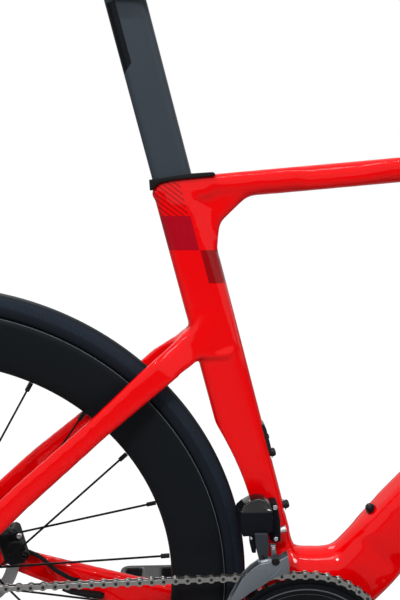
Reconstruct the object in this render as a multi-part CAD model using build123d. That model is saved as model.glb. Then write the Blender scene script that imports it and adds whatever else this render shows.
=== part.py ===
from build123d import *
import math
import os

# Aero road bicycle with disc brakes and deep carbon wheels, drawn in millimetres.
# Every piece is drawn from the bottom bracket's centre: +X forward, +Y to the rider's left, +Z up.
# Saving moves it to the frame whose origin is the middle of the saddle's top, where the rider sits.

# Ride geometry
tyre_to_bracket = 67.0
bottom_bracket_drop = 70.0
seat_angle = 75.3
seat_axis_setback = 5.0
head_angle = 73.0
head_tube_foot_x = 438.3
head_tube_length = 163.0
fork_rake = 45.0
fork_arch_gap = 6.5
crown_height = 36.5
crown_gap = 0.6
seam = 0.2

# Wheels
tyre_radius = 338.0
tyre_width = 28.0
tyre_height = 23.7
tyre_shoulder = 15.0
tyre_crown_width = 12.0
rim_width = 27.6
rim_depth = 60.7
rear_hub_width = 142.0
front_hub_width = 100.0
axle_radius = 6.0
axle_fit = 0.05
hub_end_gap = 0.3
flange_radius = 23.0
spoke_count = 24
spoke_first_angle = 6.0
spoke_lead = 62.0
spoke_radius = 1.1
nipple_radius = 2.6
nipple_length = 10.0
rotor_thickness = 1.8
rotor_track = 15.0
rear_rotor_radius = 70.0
front_rotor_radius = 80.0
rear_rotor_y = 52.2
front_rotor_y = 39.5
rear_flanges = (-18.5, 33.0)
front_flanges = (-31.0, 24.0)
caliper_angle = 14.0
front_caliper_angle = 131.0

# Drive: tooth counts that share twelve with the chain's wheels keep them meshed at every 30 degrees
chain_pitch = 12.7
outer_ring_teeth = 48
inner_ring_teeth = 36
ring_y = -46.5
ring_gap = 7.5
ring_thickness = 1.5
cassette_teeth = (28, 25, 23, 21, 19, 17, 15, 14, 13, 12, 11)
driven_sprocket = 9
cassette_inner_y = -26.5
sprocket_spacing = 3.69
pulley_teeth = 11
slack_cage_angle = -85.0
roller_height = 5.5
roller_reach = 3.0
roller_window = 5.2
inner_link_width = 3.3
link_plate = 0.55
plate_height = 8.4
plate_reach = 4.5
root_clearance = 0.5
tooth_rise = 3.2
guide_pulley_ahead = 10.0
guide_pulley_below = 62.0
cage_length = 56.0

# Crank and pedals
crank_length = 172.5
crank_arm_width = 30.0
crank_arm_thick = 13.0
crank_arm_inner_y = 61.0
spindle_radius = 12.0
spindle_seat = 8.0
shell_width = 86.5
shell_radius = 31.0
shell_bore = 20.5
pedal_axle_radius = 5.0
pedal_length = 84.0
pedal_width = 56.0
pedal_height = 15.0
pedal_gap = 6.0

# Frame tubes
seat_tube_depth = 50.3
seat_tube_width = 30.0
seat_tube_top = 530.0
seat_tube_ahead = 2.0
shelf_height = 102.5
wheel_arch_gap = 17.5
post_depth = 40.8
post_width = 24.0
post_fit = 0.2
post_insertion = 90.0
top_tube_depth = 26.0
top_tube_width = 28.0
top_tube_drop = 5.0
top_tube_join = 140.0
gusset_width = 22.0
gusset_fall = 69.0
cut_over = 30.0
down_tube_depth = 63.0
down_tube_width = 48.0
down_tube_taper = 8.0
down_tube_x = 87.5
down_tube_z = 109.3
down_tube_join = 61.0
bracket_tail = 50.0
bracket_edge = 9.0
chainstay_end_ahead = 27.0
chainstay_end_below = 4.0
seatstay_head_height = 365.0
seatstay_head_behind = 18.0
seatstay_end_ahead = 13.0
seatstay_end_above = 43.0
seatstay_lean = 41.0
head_tube_depth = 60.0
head_tube_width = 46.0
head_nose = 25.0
steerer_radius = 14.3
head_bore = 19.0
dropout_thickness = 7.0
dropout_foot = 17.0
dropout_foot_length = 24.0
hose_radius = 2.5

# Cockpit
spacer_height = 22.0
spacer_radius = 22.0
stem_height = 40.0
stem_length = 100.0
stem_width = 40.0
stem_rise = -6.0
bar_width = 420.0
bar_reach = 80.0
bar_drop = 125.0
bar_radius = 12.0
tape_thickness = 3.2
bar_top_depth = 38.0
bar_top_height = 20.0

# Saddle, whose top is the origin
saddle_x = -205.0
saddle_top_z = 752.0
saddle_length = 270.0
saddle_width = 138.0
saddle_height = 40.0
saddle_edge = 9.0
rail_radius = 3.5
rail_spread = 22.0
rail_drop = 42.0

top_tube_seat_height = seat_tube_top - top_tube_drop
chainstay_length = tyre_radius + tyre_to_bracket
rear_axle_x = -math.sqrt(chainstay_length ** 2 - bottom_bracket_drop ** 2)
axle_z = bottom_bracket_drop
axle_below_foot = tyre_radius + fork_arch_gap + crown_height + crown_gap
head_tube_foot_z = (axle_z + axle_below_foot * math.sin(math.radians(head_angle))
                    - fork_rake * math.cos(math.radians(head_angle)))
steer_lean = 180.0 - head_angle
seat_lean = 180.0 - seat_angle
rear_end_y = rear_hub_width / 2
front_end_y = front_hub_width / 2
rim_radius = tyre_radius - tyre_height
nose_radius = rim_radius - rim_depth


def step(x, z, angle, distance):
    """Point of the side view that lies at an angle above +X and a distance from another."""
    turn = math.radians(angle)
    return x + distance * math.cos(turn), z + distance * math.sin(turn)


def steer_point(height, ahead=0.0):
    """Side-view point at a height above the head tube's foot and a distance ahead of its axis."""
    x, z = step(head_tube_foot_x, head_tube_foot_z, steer_lean, height)
    return step(x, z, steer_lean - 90, ahead)


def seat_point(height, ahead=0.0):
    """Side-view point at a height along the seat tube and a distance ahead of its axis."""
    x, z = step(-seat_axis_setback, 0, seat_lean, height)
    return step(x, z, seat_lean - 90, ahead)


def heading(start, end):
    """Angle above +X of the line between two side-view points, and its length."""
    dx, dz = end[0] - start[0], end[1] - start[1]
    return math.degrees(math.atan2(dz, dx)), math.hypot(dx, dz)


front_axle_x, front_axle_z = steer_point(-axle_below_foot, fork_rake)
down_tube_angle, down_tube_length = heading((down_tube_x, down_tube_z), steer_point(down_tube_join))
top_tube_rise, top_tube_length = heading(seat_point(top_tube_seat_height), steer_point(top_tube_join))


def section(x, y, z, lean, depth, width, nose, tail):
    """Aero outline square to a tube that leans above +X: nose radius ahead, tail radius behind."""
    plane = Plane(origin=(x, y, z), x_dir=(-math.sin(math.radians(lean)), 0, math.cos(math.radians(lean))),
                  z_dir=(math.cos(math.radians(lean)), 0, math.sin(math.radians(lean))))
    a, b = depth / 2, width / 2
    edges = [
        Line((nose - a, -b), (a - tail, -b)),
        CenterArc((a - tail, tail - b), tail, -90, 90),
        Line((a, tail - b), (a, b - tail)),
        CenterArc((a - tail, b - tail), tail, 0, 90),
        Line((a - tail, b), (nose - a, b)),
        CenterArc((nose - a, b - nose), nose, 90, 90),
        Line((-a, b - nose), (-a, nose - b)),
        CenterArc((nose - a, nose - b), nose, 180, 90),
    ]
    return plane * make_face(edges)


def outline_at(x, y, z, lean, depth, width, round_off, grow=0.0):
    """Aero outline whose nose is rounder than its tail."""
    nose, tail = 0.46 * round_off + grow, 0.3 * round_off + grow
    return section(x, y, z, lean, depth + 2 * grow, width + 2 * grow, nose, tail)


def tube(rows, lean, grow=0.0):
    """Straight-sided loft through rows of x, y, z, depth, width, with the same corners all along."""
    round_off = min(min(row[3:]) for row in rows)
    return loft([outline_at(*row[:3], lean, *row[3:], round_off, grow) for row in rows], ruled=True)


def straight_tube(start, lean, length, depth, width, grow=0.0, taper=0.0):
    """Tube from a side-view point along its lean, whose walls draw in by an angle."""
    outline = outline_at(start[0], 0, start[1], lean, depth, width, min(depth, width), grow)
    return extrude(outline, amount=length, taper=taper)


def disc(x, y, z, radius, length):
    """Cylinder whose axis runs across the bicycle."""
    return Pos(x, y, z) * Rot(90, 0, 0) * Cylinder(radius, length)


def rod(start, end, radius):
    """Cylinder from one point to another."""
    start, end = Vector(*start), Vector(*end)
    return Plane(origin=(start + end) / 2, z_dir=end - start) * Cylinder(radius, (end - start).length)


def ring_of(points, x, z, y=0.0):
    """Ring about a wheel's axle, from an outline of (y, radius) points."""
    outline = make_face(Polyline(*[(radius, across) for across, radius in points], close=True))
    turned = revolve(Plane(origin=(0, 0, 0), x_dir=(1, 0, 0), z_dir=(0, 0, 1)) * outline, Axis.Y)
    return Pos(x, y, z) * turned


def both_sides(piece):
    """A piece and its mirror image on the other side of the bicycle."""
    return [piece, mirror(piece, about=Plane.XZ)]


def slab(points, y_low, y_high):
    """Plate with a side-view outline between two distances across."""
    face = make_face(Polyline(*[(x, 0, z) for x, z in points], close=True))
    return Pos(0, y_high, 0) * extrude(face, amount=y_high - y_low, dir=(0, -1, 0))


# Frame: bonded carbon tubes

def seat_tube_body(grow=0.0, above=0.0):
    low = 86.0
    start = seat_point(low, seat_tube_ahead)
    return straight_tube(start, seat_lean, seat_tube_top + above - low, seat_tube_depth, seat_tube_width, grow)


def post_body(low, high, grow=0.0):
    return straight_tube(seat_point(low), seat_lean, high - low, post_depth, post_width, grow)


def wheel_arch():
    return disc(rear_axle_x, 0, axle_z, tyre_radius + wheel_arch_gap, 300)


bottle_boss_spacing = 64.0
boss_radius = 4.0
boss_hole = 2.5
boss_length = 10.0
boss_flange_radius = 6.0
boss_flange = 1.0
boss_fit = 0.1
boss_stand = 0.2
seat_boss_height = 154.5
down_boss_along = 26.0


def boss_seats():
    """Place and outward direction of each bottle boss: on the seat tube's front, the down tube's top."""
    seats = []
    for k in (0, 1):
        x, z = seat_point(seat_boss_height + k * bottle_boss_spacing, seat_tube_ahead + seat_tube_depth / 2)
        seats.append((x, z, seat_lean - 90))
    for k in (0, 1):
        x, z = step(down_tube_x, down_tube_z, down_tube_angle, down_boss_along + k * bottle_boss_spacing)
        x, z = step(x, z, down_tube_angle + 90, down_depth_at(down_boss_along + k * bottle_boss_spacing) / 2)
        seats.append((x, z, down_tube_angle + 90))
    return seats


def down_depth_at(along):
    return down_tube_depth - down_tube_taper * along / down_tube_length


def boss_holes():
    holes = []
    for x, z, angle in boss_seats():
        inner = step(x, z, angle + 180, boss_length + boss_fit)
        outer = step(x, z, angle, 3)
        holes.append(rod((inner[0], 0, inner[1]), (outer[0], 0, outer[1]), boss_radius + boss_fit))
    return holes


def seat_tube():
    body = seat_tube_body() - wheel_arch()
    body -= Pos(0, 0, shelf_height - 100) * Box(400, 200, 200)
    body -= post_body(seat_tube_top - post_insertion - 1, seat_tube_top + 10, post_fit)
    return body - boss_holes()[:2]


def head_tube_body(grow=0.0):
    start = steer_point(0, head_nose - head_tube_depth / 2)
    return straight_tube(start, steer_lean, head_tube_length, head_tube_depth, head_tube_width, grow)


def steerer_hole(radius):
    low = steer_point(-50)
    high = steer_point(head_tube_length + 150)
    return rod((low[0], 0, low[1]), (high[0], 0, high[1]), radius)


def head_tube():
    return head_tube_body() - steerer_hole(head_bore)


def top_tube_body(grow=0.0):
    return straight_tube(seat_point(top_tube_seat_height), top_tube_rise, top_tube_length, top_tube_depth,
                         top_tube_width, grow)


def top_tube():
    """Flat tube with the curved gusset under its rear end."""
    corner = seat_point(top_tube_seat_height - gusset_fall)
    fan = [(0, 0), (35, 0), (38, 27), (64, 52), (90, 65), (0, 65)]
    gusset = slab([(corner[0] - 9 + x, corner[1] + 6 + z) for x, z in fan], -gusset_width / 2, gusset_width / 2)
    body = (gusset + top_tube_body()) - seat_tube_body(seam, cut_over) - head_tube_body(seam)
    return max(body.solids(), key=lambda solid: solid.volume)


def down_tube():
    taper = math.degrees(math.atan(down_tube_taper / 2 / down_tube_length))
    body = straight_tube((down_tube_x, down_tube_z), down_tube_angle, down_tube_length - steerer_radius,
                         down_tube_depth, down_tube_width, 0, taper)
    body = body - head_tube_body(seam) - boss_holes()[2:]
    return max(body.solids(), key=lambda solid: solid.volume)


def bottom_bracket_body(grow=0.0):
    """Junction of seat tube, down tube and chainstays."""
    half = down_tube_depth / 2
    upper = step(down_tube_x, down_tube_z, down_tube_angle + 90, half)
    lower = step(down_tube_x, down_tube_z, down_tube_angle - 90, half)
    shelf_end = step(*upper, down_tube_angle, (shelf_height - upper[1]) / math.sin(math.radians(down_tube_angle)))
    keel = step(*lower, down_tube_angle, -96)
    outline = [(-bracket_tail, shelf_height), shelf_end, upper, lower, keel, (-6, -shell_radius),
               (-bracket_tail, 4 - shell_radius)]
    half_width = down_tube_width / 2 + grow
    block = slab(outline, -half_width, half_width)
    sides = [edge for edge in block.edges() if abs(abs(edge.center().Y) - half_width) < 0.1]
    block = chamfer(sides, bracket_edge)
    _, y, z, depth, width = chainstay_rows()[0]
    half_yoke = y + width / 2
    yoke = slab([(-bracket_tail, z - depth / 2), (-bracket_tail, z + depth / 2), (0, z + depth / 2),
                 (0, z - depth / 2)], -half_yoke, half_yoke)
    return block + yoke + disc(0, 0, 0, shell_radius + grow, shell_width + 2 * grow)


def bottom_bracket_shell():
    """The junction with the bearings' bore, cut away round the rear tyre."""
    return bottom_bracket_body() - disc(0, 0, 0, shell_bore, shell_width + 2) - wheel_arch()


def dropout_outline():
    """Side view of the plate that joins both stays round the rear axle."""
    x, z = rear_axle_x, axle_z
    end_x, _, end_z, end_depth, _ = chainstay_rows()[-1]
    half_foot = dropout_foot_length / 2
    outline = [(end_x - seam, end_z + end_depth / 2), (end_x - seam, end_z - end_depth / 2),
               (x + half_foot, z - dropout_foot), (x - half_foot, z - dropout_foot), (x - 17, z - 4), (x - 14, z + 20)]
    end_x, _, end_z, end_depth, _ = seatstay_rows()[-1]
    for side in (1, -1):
        corner = step(end_x, end_z, seatstay_lean + 90, side * end_depth / 2)
        outline.append(step(*corner, seatstay_lean, -seam))
    return outline


def dropout(side):
    plate = slab(dropout_outline(), rear_end_y, rear_end_y + dropout_thickness)
    plate -= disc(rear_axle_x, 0, axle_z, axle_radius + axle_fit, 400)
    return plate if side > 0 else mirror(plate, about=Plane.XZ)


def stay_rows(start, end, table):
    """Rows of x, y, z, depth, width between two side-view points, from shares of the way and rises."""
    rows = []
    for share, y, rise, depth, width in table:
        x = start[0] + share * (end[0] - start[0])
        z = start[1] + share * (end[1] - start[1]) + rise
        rows.append((x, y, z, depth, width))
    return rows


def seatstay_rows():
    head = seat_point(seatstay_head_height, -seatstay_head_behind)
    end = (rear_axle_x + seatstay_end_ahead, axle_z + seatstay_end_above)
    table = [(0, 5, 0, 34, 12), (0.13, 27, 5, 31, 14), (0.37, 38, 5, 25, 13), (0.68, 53, 6, 27, 13),
             (1, rear_end_y + dropout_thickness / 2, 0, 26, 10)]
    return stay_rows(head, end, table)


def chainstay_rows():
    end = (rear_axle_x + chainstay_end_ahead, axle_z - chainstay_end_below)
    table = [(0, 24.5, 0.5, 54, 11), (0.19, 31.5, -5, 51, 11.5), (0.41, 44, -7, 46, 15), (0.72, 59, -5, 38, 14),
             (1, rear_end_y + dropout_thickness / 2, 0, 27, 10)]
    return stay_rows((-bracket_tail - seam, 0), end, table)


def seatstay():
    stay = tube(seatstay_rows(), seatstay_lean) - seat_tube_body(seam)
    return max(stay.solids(), key=lambda solid: solid.volume)


def chainstay(grow=0.0):
    """Stay whose ends lie flat on the junction's yoke and the dropout."""
    return tube(chainstay_rows(), 180, grow)


# Seat post, clamp and saddle

clamp_thickness = 5.0
post_top = saddle_top_z - rail_drop - 8.0


def seatpost():
    """Aero post whose foot stands in the seat tube and whose head carries the rail clamp."""
    reach = (post_top + 20) / math.sin(math.radians(seat_angle))
    post = post_body(seat_tube_top - post_insertion, reach)
    return post - Pos(0, 0, post_top + 100) * Box(900, 200, 200)


def clamp_cover():
    """Rubber cap over the post's clamping wedge, with a lip behind."""
    x, z = seat_point(seat_tube_top, seat_tube_ahead)
    high = seat_point(seat_tube_top + clamp_thickness, seat_tube_ahead)
    row = (seat_tube_depth + 3, seat_tube_width + 6)
    cap = tube([(x, 0, z, *row), (high[0], 0, high[1], *row)], seat_lean)
    nose = seat_point(seat_tube_top + clamp_thickness / 2, seat_tube_ahead + seat_tube_depth / 2 + 6)
    cap += Pos(nose[0], 0, nose[1]) * Rot(0, 90 - seat_angle, 0) * Box(16, 22, clamp_thickness)
    return cap - post_body(seat_tube_top - 10, seat_tube_top + 20, post_fit) - top_tube_body(seam)


def rail_path():
    x = saddle_x
    z = saddle_top_z - rail_drop
    bends = [(x + 100, 10, z + 20), (x + 62, rail_spread, z), (x - 45, rail_spread, z),
             (x - 96, rail_spread + 12, z + 19)]
    return FilletPolyline(*bends, radius=20)


def saddle_rail(grow=0.0):
    path = rail_path()
    return sweep(Plane(origin=path @ 0, z_dir=path % 0) * Circle(rail_radius + grow), path=path)


def saddle_clamp():
    """Cradle and cap that grip both rails on the post's head."""
    x, _ = step(-seat_axis_setback, 0, seat_lean, post_top / math.sin(math.radians(seat_angle)))
    z = saddle_top_z - rail_drop
    low = post_top + 0.05
    high = z + rail_radius + 5
    block = Pos(x, 0, (low + high) / 2) * Box(40, 2 * rail_spread + 16, high - low)
    block = fillet(block.edges().filter_by(Axis.Z), 7)
    grooves = [rod((x - 60, y, z), (x + 60, y, z), rail_radius + 0.1) for y in (-rail_spread, rail_spread)]
    return block - grooves


def saddle():
    """Shell and padding in one closed form, wide behind and narrow in front."""
    rows = []
    for share, width, height, drop in (
            (-0.5, 0.80, 0.55, 3), (-0.44, 0.97, 0.78, 2), (-0.26, 1.0, 0.88, 1), (0.0, 0.60, 0.82, 0),
            (0.25, 0.34, 0.75, 1), (0.5, 0.22, 0.5, 4)):
        wide = width * saddle_width
        tall = height * saddle_height
        plane = Plane(origin=(saddle_x + share * saddle_length, 0, saddle_top_z - drop - tall / 2),
                      x_dir=(0, 1, 0), z_dir=(1, 0, 0))
        rows.append(plane * RectangleRounded(wide, tall, saddle_edge))
    return loft(rows, ruled=True) - both_sides(saddle_rail(0.2))


# Bearings, axles and bosses

def headset_bearings():
    """Two rings between the head tube and the steerer."""
    rings = []
    for height in (3.5, head_tube_length - 3.5):
        low, high = steer_point(height - 3.5), steer_point(height + 3.5)
        ends = [(p[0], 0, p[1]) for p in (low, high)]
        rings.append(rod(*ends, head_bore - 0.05) - steerer_hole(steerer_radius + axle_fit))
    return rings


def crank_bearings():
    """Two bearing cups pressed into the shell."""
    length = 12.0
    cups = []
    for side in (-1, 1):
        y = side * (shell_width - length) / 2
        cups.append(disc(0, y, 0, shell_bore - 0.05, length) - disc(0, y, 0, spindle_radius + axle_fit, length + 2))
    return cups


def rear_axle():
    length = rear_hub_width + 2 * dropout_thickness
    head = disc(rear_axle_x, (length + 5) / 2, axle_z, 9, 5) - disc(rear_axle_x, (length + 5) / 2, axle_z, 3, 8)
    return disc(rear_axle_x, 0, axle_z, axle_radius, length) + head


def bottle_bosses():
    """Four threaded inserts, two on the seat tube and two on the down tube."""
    inserts = []
    for x, z, angle in boss_seats():
        inner = step(x, z, angle + 180, boss_length)
        outer = step(x, z, angle, boss_flange + boss_stand)
        seat_x, seat_z = step(x, z, angle, boss_stand)
        seat = (seat_x, 0, seat_z)
        body = rod((inner[0], 0, inner[1]), seat, boss_radius) + rod(seat, (outer[0], 0, outer[1]), boss_flange_radius)
        inserts.append(body - rod((inner[0], 0, inner[1]), (outer[0], 0, outer[1]), boss_hole))
    return inserts


# Wheels

def rim(x, z):
    outline = []
    for half, depth in ((rim_width / 2 - 0.6, 0), (rim_width / 2, 0.43 * rim_depth), (4.5, rim_depth)):
        outline.append((half, rim_radius - depth))
    return ring_of(outline + [(-half, radius) for half, radius in reversed(outline)], x, z)


def tyre(x, z):
    outline = [(tyre_width / 2 - 2.5, rim_radius + hub_end_gap), (tyre_width / 2, tyre_radius - tyre_shoulder),
               (tyre_crown_width / 2, tyre_radius)]
    return ring_of(outline + [(-half, radius) for half, radius in reversed(outline)], x, z)


def hub(x, z, width, right_flange_y, left_flange_y, rotor_y):
    """Turned hub: end caps, two flanges, a waist and the rotor's splined seat."""
    half = width / 2 - hub_end_gap
    bore = axle_radius + axle_fit
    outline = [(-half, bore), (-half, 9.5), (right_flange_y - 2.5, 9.5), (right_flange_y - 2.5, flange_radius),
               (right_flange_y + 2.5, flange_radius), (right_flange_y + 6, 13), (left_flange_y - 6, 13),
               (left_flange_y - 2.5, flange_radius), (left_flange_y + 2.5, flange_radius),
               (left_flange_y + 2.5, 17), (rotor_y + 1.5, 17), (rotor_y + 1.5, 9.5), (half, 9.5), (half, bore)]
    return ring_of(outline, x, z)


def spokes(x, z, right_flange_y, left_flange_y):
    """Crossed spokes with outside nipples, every second one to the other flange."""
    pieces = []
    for k in range(spoke_count):
        rim_angle = spoke_first_angle + k * 360 / spoke_count
        flange_y = right_flange_y if k % 2 == 0 else left_flange_y
        pair = (k // 2) % 2
        lead = spoke_lead if pair == 0 else -spoke_lead
        offset = 1.3 if pair == 0 else -1.3
        foot = step(x, z, rim_angle + lead, flange_radius + 1.4)
        tip = step(x, z, rim_angle, nose_radius - 0.7)
        foot = Vector(foot[0], flange_y + offset, foot[1])
        tip = Vector(tip[0], 0, tip[1])
        back = (foot - tip).normalized()
        pull = tip + back * nipple_length
        plane = Plane(origin=foot, x_dir=(0, 1, 0), z_dir=tip - foot)
        spoke = extrude(plane * Rectangle(1.0, 2 * spoke_radius), amount=(pull - foot).length + 1)
        nipple = extrude(Plane(origin=tip, z_dir=back) * RegularPolygon(nipple_radius, 6), amount=nipple_length)
        pieces.append(spoke + nipple)
    return pieces


def rotor(x, z, y, radius):
    """Brake disc: a track carried by swept arms on its splined carrier."""
    plate = disc(x, y, z, radius, rotor_thickness) - disc(x, y, z, radius - rotor_track, 10)
    plate += disc(x, y, z, 24, rotor_thickness)
    for k in range(6):
        a = step(x, z, 60 * k, 21)
        b = step(x, z, 60 * k + 24, radius - rotor_track + 2)
        arm = rod((a[0], y, a[1]), (b[0], y, b[1]), 3)
        plate += arm & disc(x, y, z, radius, rotor_thickness)
    return plate - disc(x, y, z, 17.05, 10)


def caliper(x, z, y, radius, angle, mount):
    """Two-piston brake body astride the disc, with a slot that the disc turns in."""
    cx, cz = step(x, z, angle, radius - 6)
    body = Pos(cx, y, cz) * Rot(0, -angle - 90, 0) * Box(46, 27, 26)
    body = chamfer(body.edges(), 4)
    return body - disc(x, y, z, radius + 2.5, rotor_thickness + 1.4) - mount


def rear_brake_hose():
    """Hose from the caliper's front down to its port in the left chainstay's inner side."""
    cx, cz = step(rear_axle_x, axle_z, caliper_angle, rear_rotor_radius - 6)
    bends = [(cx + 6, 58, cz - 8), (cx + 30, 56, cz - 18), (cx + 52, 46, cz - 32), (cx + 74, 44, cz - 44),
             (cx + 86, 56, cz - 50)]
    path = FilletPolyline(*bends, radius=[20, 24, 14])
    hose = sweep(Plane(origin=path @ 0, z_dir=path % 0) * RegularPolygon(hose_radius, 8), path=path)
    room = Pos(cx, rear_rotor_y, cz) * Rot(0, -caliper_angle - 90, 0) * Box(46.4, 40, 26.4)
    hose = hose - room - chainstay(0.3)
    return max(hose.solids(), key=lambda solid: solid.volume)


# Drive

def pitch_radius(teeth):
    return chain_pitch / (2 * math.sin(math.pi / teeth))


def sprocket_outline(teeth, first_gap):
    """Points of a toothed wheel in the side view, whose gap for a roller lies at an angle."""
    pitch = pitch_radius(teeth)
    root = pitch * math.cos(math.pi / teeth) - roller_height / 2 - root_clearance
    points = []
    for k in range(teeth):
        middle = math.radians(first_gap + (k + 0.5) * 360 / teeth)
        for radius, half in ((root, -2.1), (pitch + tooth_rise, -0.9), (pitch + tooth_rise, 0.9), (root, 2.1)):
            turn = middle + half / radius
            points.append((radius * math.cos(turn), radius * math.sin(turn)))
    return points


def sprocket(x, y, z, teeth, first_gap, thickness):
    points = [(x + a, z + b) for a, b in sprocket_outline(teeth, first_gap)]
    return slab(points, y - thickness / 2, y + thickness / 2)


driven_y = cassette_inner_y - driven_sprocket * sprocket_spacing
driven_teeth = cassette_teeth[driven_sprocket]
guide_x = rear_axle_x + guide_pulley_ahead
guide_z = axle_z - guide_pulley_below


def chain_wheels(cage_angle):
    """Centre, distance across, teeth and turning sense of each wheel that the chain passes."""
    tension = step(guide_x, guide_z, cage_angle, cage_length)
    return [(0, 0, ring_y, outer_ring_teeth, 1), (rear_axle_x, axle_z, driven_y, driven_teeth, 1),
            (guide_x, guide_z, driven_y, pulley_teeth, -1), (*tension, driven_y, pulley_teeth, 1)]


def chain_route(cage_angle):
    """The chain's straight runs and wraps, as lengths counted in pitches, from the ring's top back."""
    wheels = chain_wheels(cage_angle)
    runs = []
    for k, here in enumerate(wheels):
        there = wheels[(k + 1) % len(wheels)]
        dx, dz = there[0] - here[0], there[1] - here[1]
        reach = math.hypot(dx, dz)
        rise = (there[4] * pitch_radius(there[3]) - here[4] * pitch_radius(here[3])) / reach
        heading = math.atan2(dz, dx) - math.asin(rise)
        start = touch_point(here, heading)
        end = touch_point(there, heading)
        runs.append((heading, start, end, math.dist(start, end)))
    route = []
    for k, (heading, start, end, length) in enumerate(runs):
        wheel = wheels[(k + 1) % len(wheels)]
        turn = ((runs[(k + 1) % len(runs)][0] - heading) * wheel[4]) % (2 * math.pi)
        route.append(("run", length / chain_pitch, start, end, wheels[k], wheel))
        route.append(("wrap", turn * wheel[3] / (2 * math.pi), wheel, heading))
    return route


def touch_point(wheel, heading):
    x, z, _, teeth, sense = wheel
    radius = pitch_radius(teeth)
    return (x + sense * radius * math.sin(heading), z - sense * radius * math.cos(heading))


def free_of_teeth(wheel):
    """Pitches along a run after which the chain has lifted clear of a wheel's teeth."""
    lift = tooth_rise + roller_height / 2
    return math.sqrt(2 * pitch_radius(wheel[3]) * lift) / chain_pitch


def route_point(route, distance):
    """Point (x, y, z) at a number of pitches along the route."""
    for part in route:
        if distance <= part[1]:
            break
        distance -= part[1]
    if part[0] == "run":
        _, length, (ax, az), (bx, bz), here, there = part
        share = distance / length
        slack = length - free_of_teeth(here) - free_of_teeth(there)
        across = min(max((distance - free_of_teeth(here)) / slack, 0), 1)
        return (ax + share * (bx - ax), here[2] + across * (there[2] - here[2]), az + share * (bz - az))
    x, z, y, teeth, sense = part[2]
    heading = part[3] + sense * distance * 2 * math.pi / teeth
    px, pz = touch_point((x, z, y, teeth, sense), heading)
    return (px, y, pz)


def chain_pitches(cage_angle):
    return sum(part[1] for part in chain_route(cage_angle))


def solve_cage_angle():
    """Cage angle at which the chain's loop is a whole number of links long."""
    low, high = -170.0, -10.0
    for _ in range(60):
        middle = (low + high) / 2
        if chain_pitches(middle) > chain_links:
            low = middle
        else:
            high = middle
    return middle


chain_links = 2 * round(chain_pitches(slack_cage_angle) / 2)
cage_angle = solve_cage_angle()
route = chain_route(cage_angle)
pins = [route_point(route, k) for k in range(chain_links)]
run_links = min(part[1] - free_of_teeth(part[4]) - free_of_teeth(part[5]) for part in (route[0], route[6]))
side_step = abs(driven_y - ring_y) / run_links
plate_play = side_step * (roller_reach + plate_reach) / chain_pitch + 0.03
chain_half_width = inner_link_width / 2 + plate_play + link_plate


def first_gap_of(wheel_index):
    """Angle of the first roller on one of the chain's wheels."""
    before = sum(part[1] for part in route[:2 * wheel_index - 1]) if wheel_index else 0
    count = math.ceil(before - 1e-9) if wheel_index else 0
    x, _, z = pins[count % chain_links]
    wheel = chain_wheels(cage_angle)[wheel_index]
    return math.degrees(math.atan2(z - wheel[1], x - wheel[0]))


def chain():
    """Inner links with tooth windows between pairs of outer plates, each pair a pitch further on."""
    half = chain_pitch / 2
    waist, tip = plate_height / 2, half + plate_reach
    outline = [(-tip, 0), (-half, -waist), (half, -waist), (tip, 0), (half, waist), (-half, waist)]
    plate = extrude(make_face(Polyline(*outline, close=True)), amount=link_plate)
    inner = Box(chain_pitch + 2 * roller_reach, roller_height, inner_link_width)
    inner -= Box(roller_window, roller_height + 2, inner_link_width - 2 * link_plate)
    links = []
    for k in range(chain_links):
        a, b = Vector(*pins[k]), Vector(*pins[(k + 1) % chain_links])
        direction = b - a
        square = Vector(-direction.Z, 0, direction.X)
        place = Plane(origin=(a + b) / 2, x_dir=direction, z_dir=square.cross(direction)).location
        if k % 2:
            links.append(place * inner)
        else:
            offset = inner_link_width / 2 + plate_play
            links.append(place * Pos(0, 0, offset) * plate)
            links.append(place * Pos(0, 0, -offset - link_plate) * plate)
    return links


def cassette():
    """Eleven sprockets on their carrier."""
    last_y = cassette_inner_y - (len(cassette_teeth) - 1) * sprocket_spacing
    x, z = rear_axle_x, axle_z
    length = cassette_inner_y - last_y + ring_thickness
    body = disc(x, (cassette_inner_y + last_y) / 2, z, 18.5, length)
    for k, teeth in enumerate(cassette_teeth):
        body += sprocket(x, cassette_inner_y - k * sprocket_spacing, z, teeth, first_gap_of(1), ring_thickness)
    return body - disc(x, 0, z, 17.05, 300)


def freehub():
    """Splined driver that the cassette slides on, over the hub's right end."""
    low = -rear_end_y + 3
    high = cassette_inner_y + 4
    x, z = rear_axle_x, axle_z
    return disc(x, (low + high) / 2, z, 17, high - low) - disc(x, (low + high) / 2, z, 9.55, high - low + 2)


def pulleys():
    """Guide and tension wheels of the derailleur."""
    wheels = []
    for index in (2, 3):
        x, z, y, teeth, _ = chain_wheels(cage_angle)[index]
        wheel = sprocket(x, y, z, teeth, first_gap_of(index), ring_thickness)
        wheels.append(wheel - disc(x, y, z, 4.1, 10))
    return wheels


def derailleur_cage():
    """Two plates either side of the pulleys, joined by the pulleys' bolts."""
    plates = []
    tension = step(guide_x, guide_z, cage_angle, cage_length)
    inner = chain_half_width + 2.0
    for side in (-1, 1):
        y = driven_y + side * (inner + 0.75)
        ends = disc(guide_x, y, guide_z, 15, 1.5) + disc(*[tension[0], y, tension[1]], 13, 1.5)
        middle = ((guide_x + tension[0]) / 2, y, (guide_z + tension[1]) / 2)
        web = Pos(*middle) * Rot(0, -cage_angle, 0) * Box(cage_length, 1.5, 14)
        plates.append(ends + web)
    body = plates[0] + plates[1]
    for x, z in ((guide_x, guide_z), tension):
        body += disc(x, driven_y, z, 4.0, 2 * inner + 3)
    return body


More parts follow.
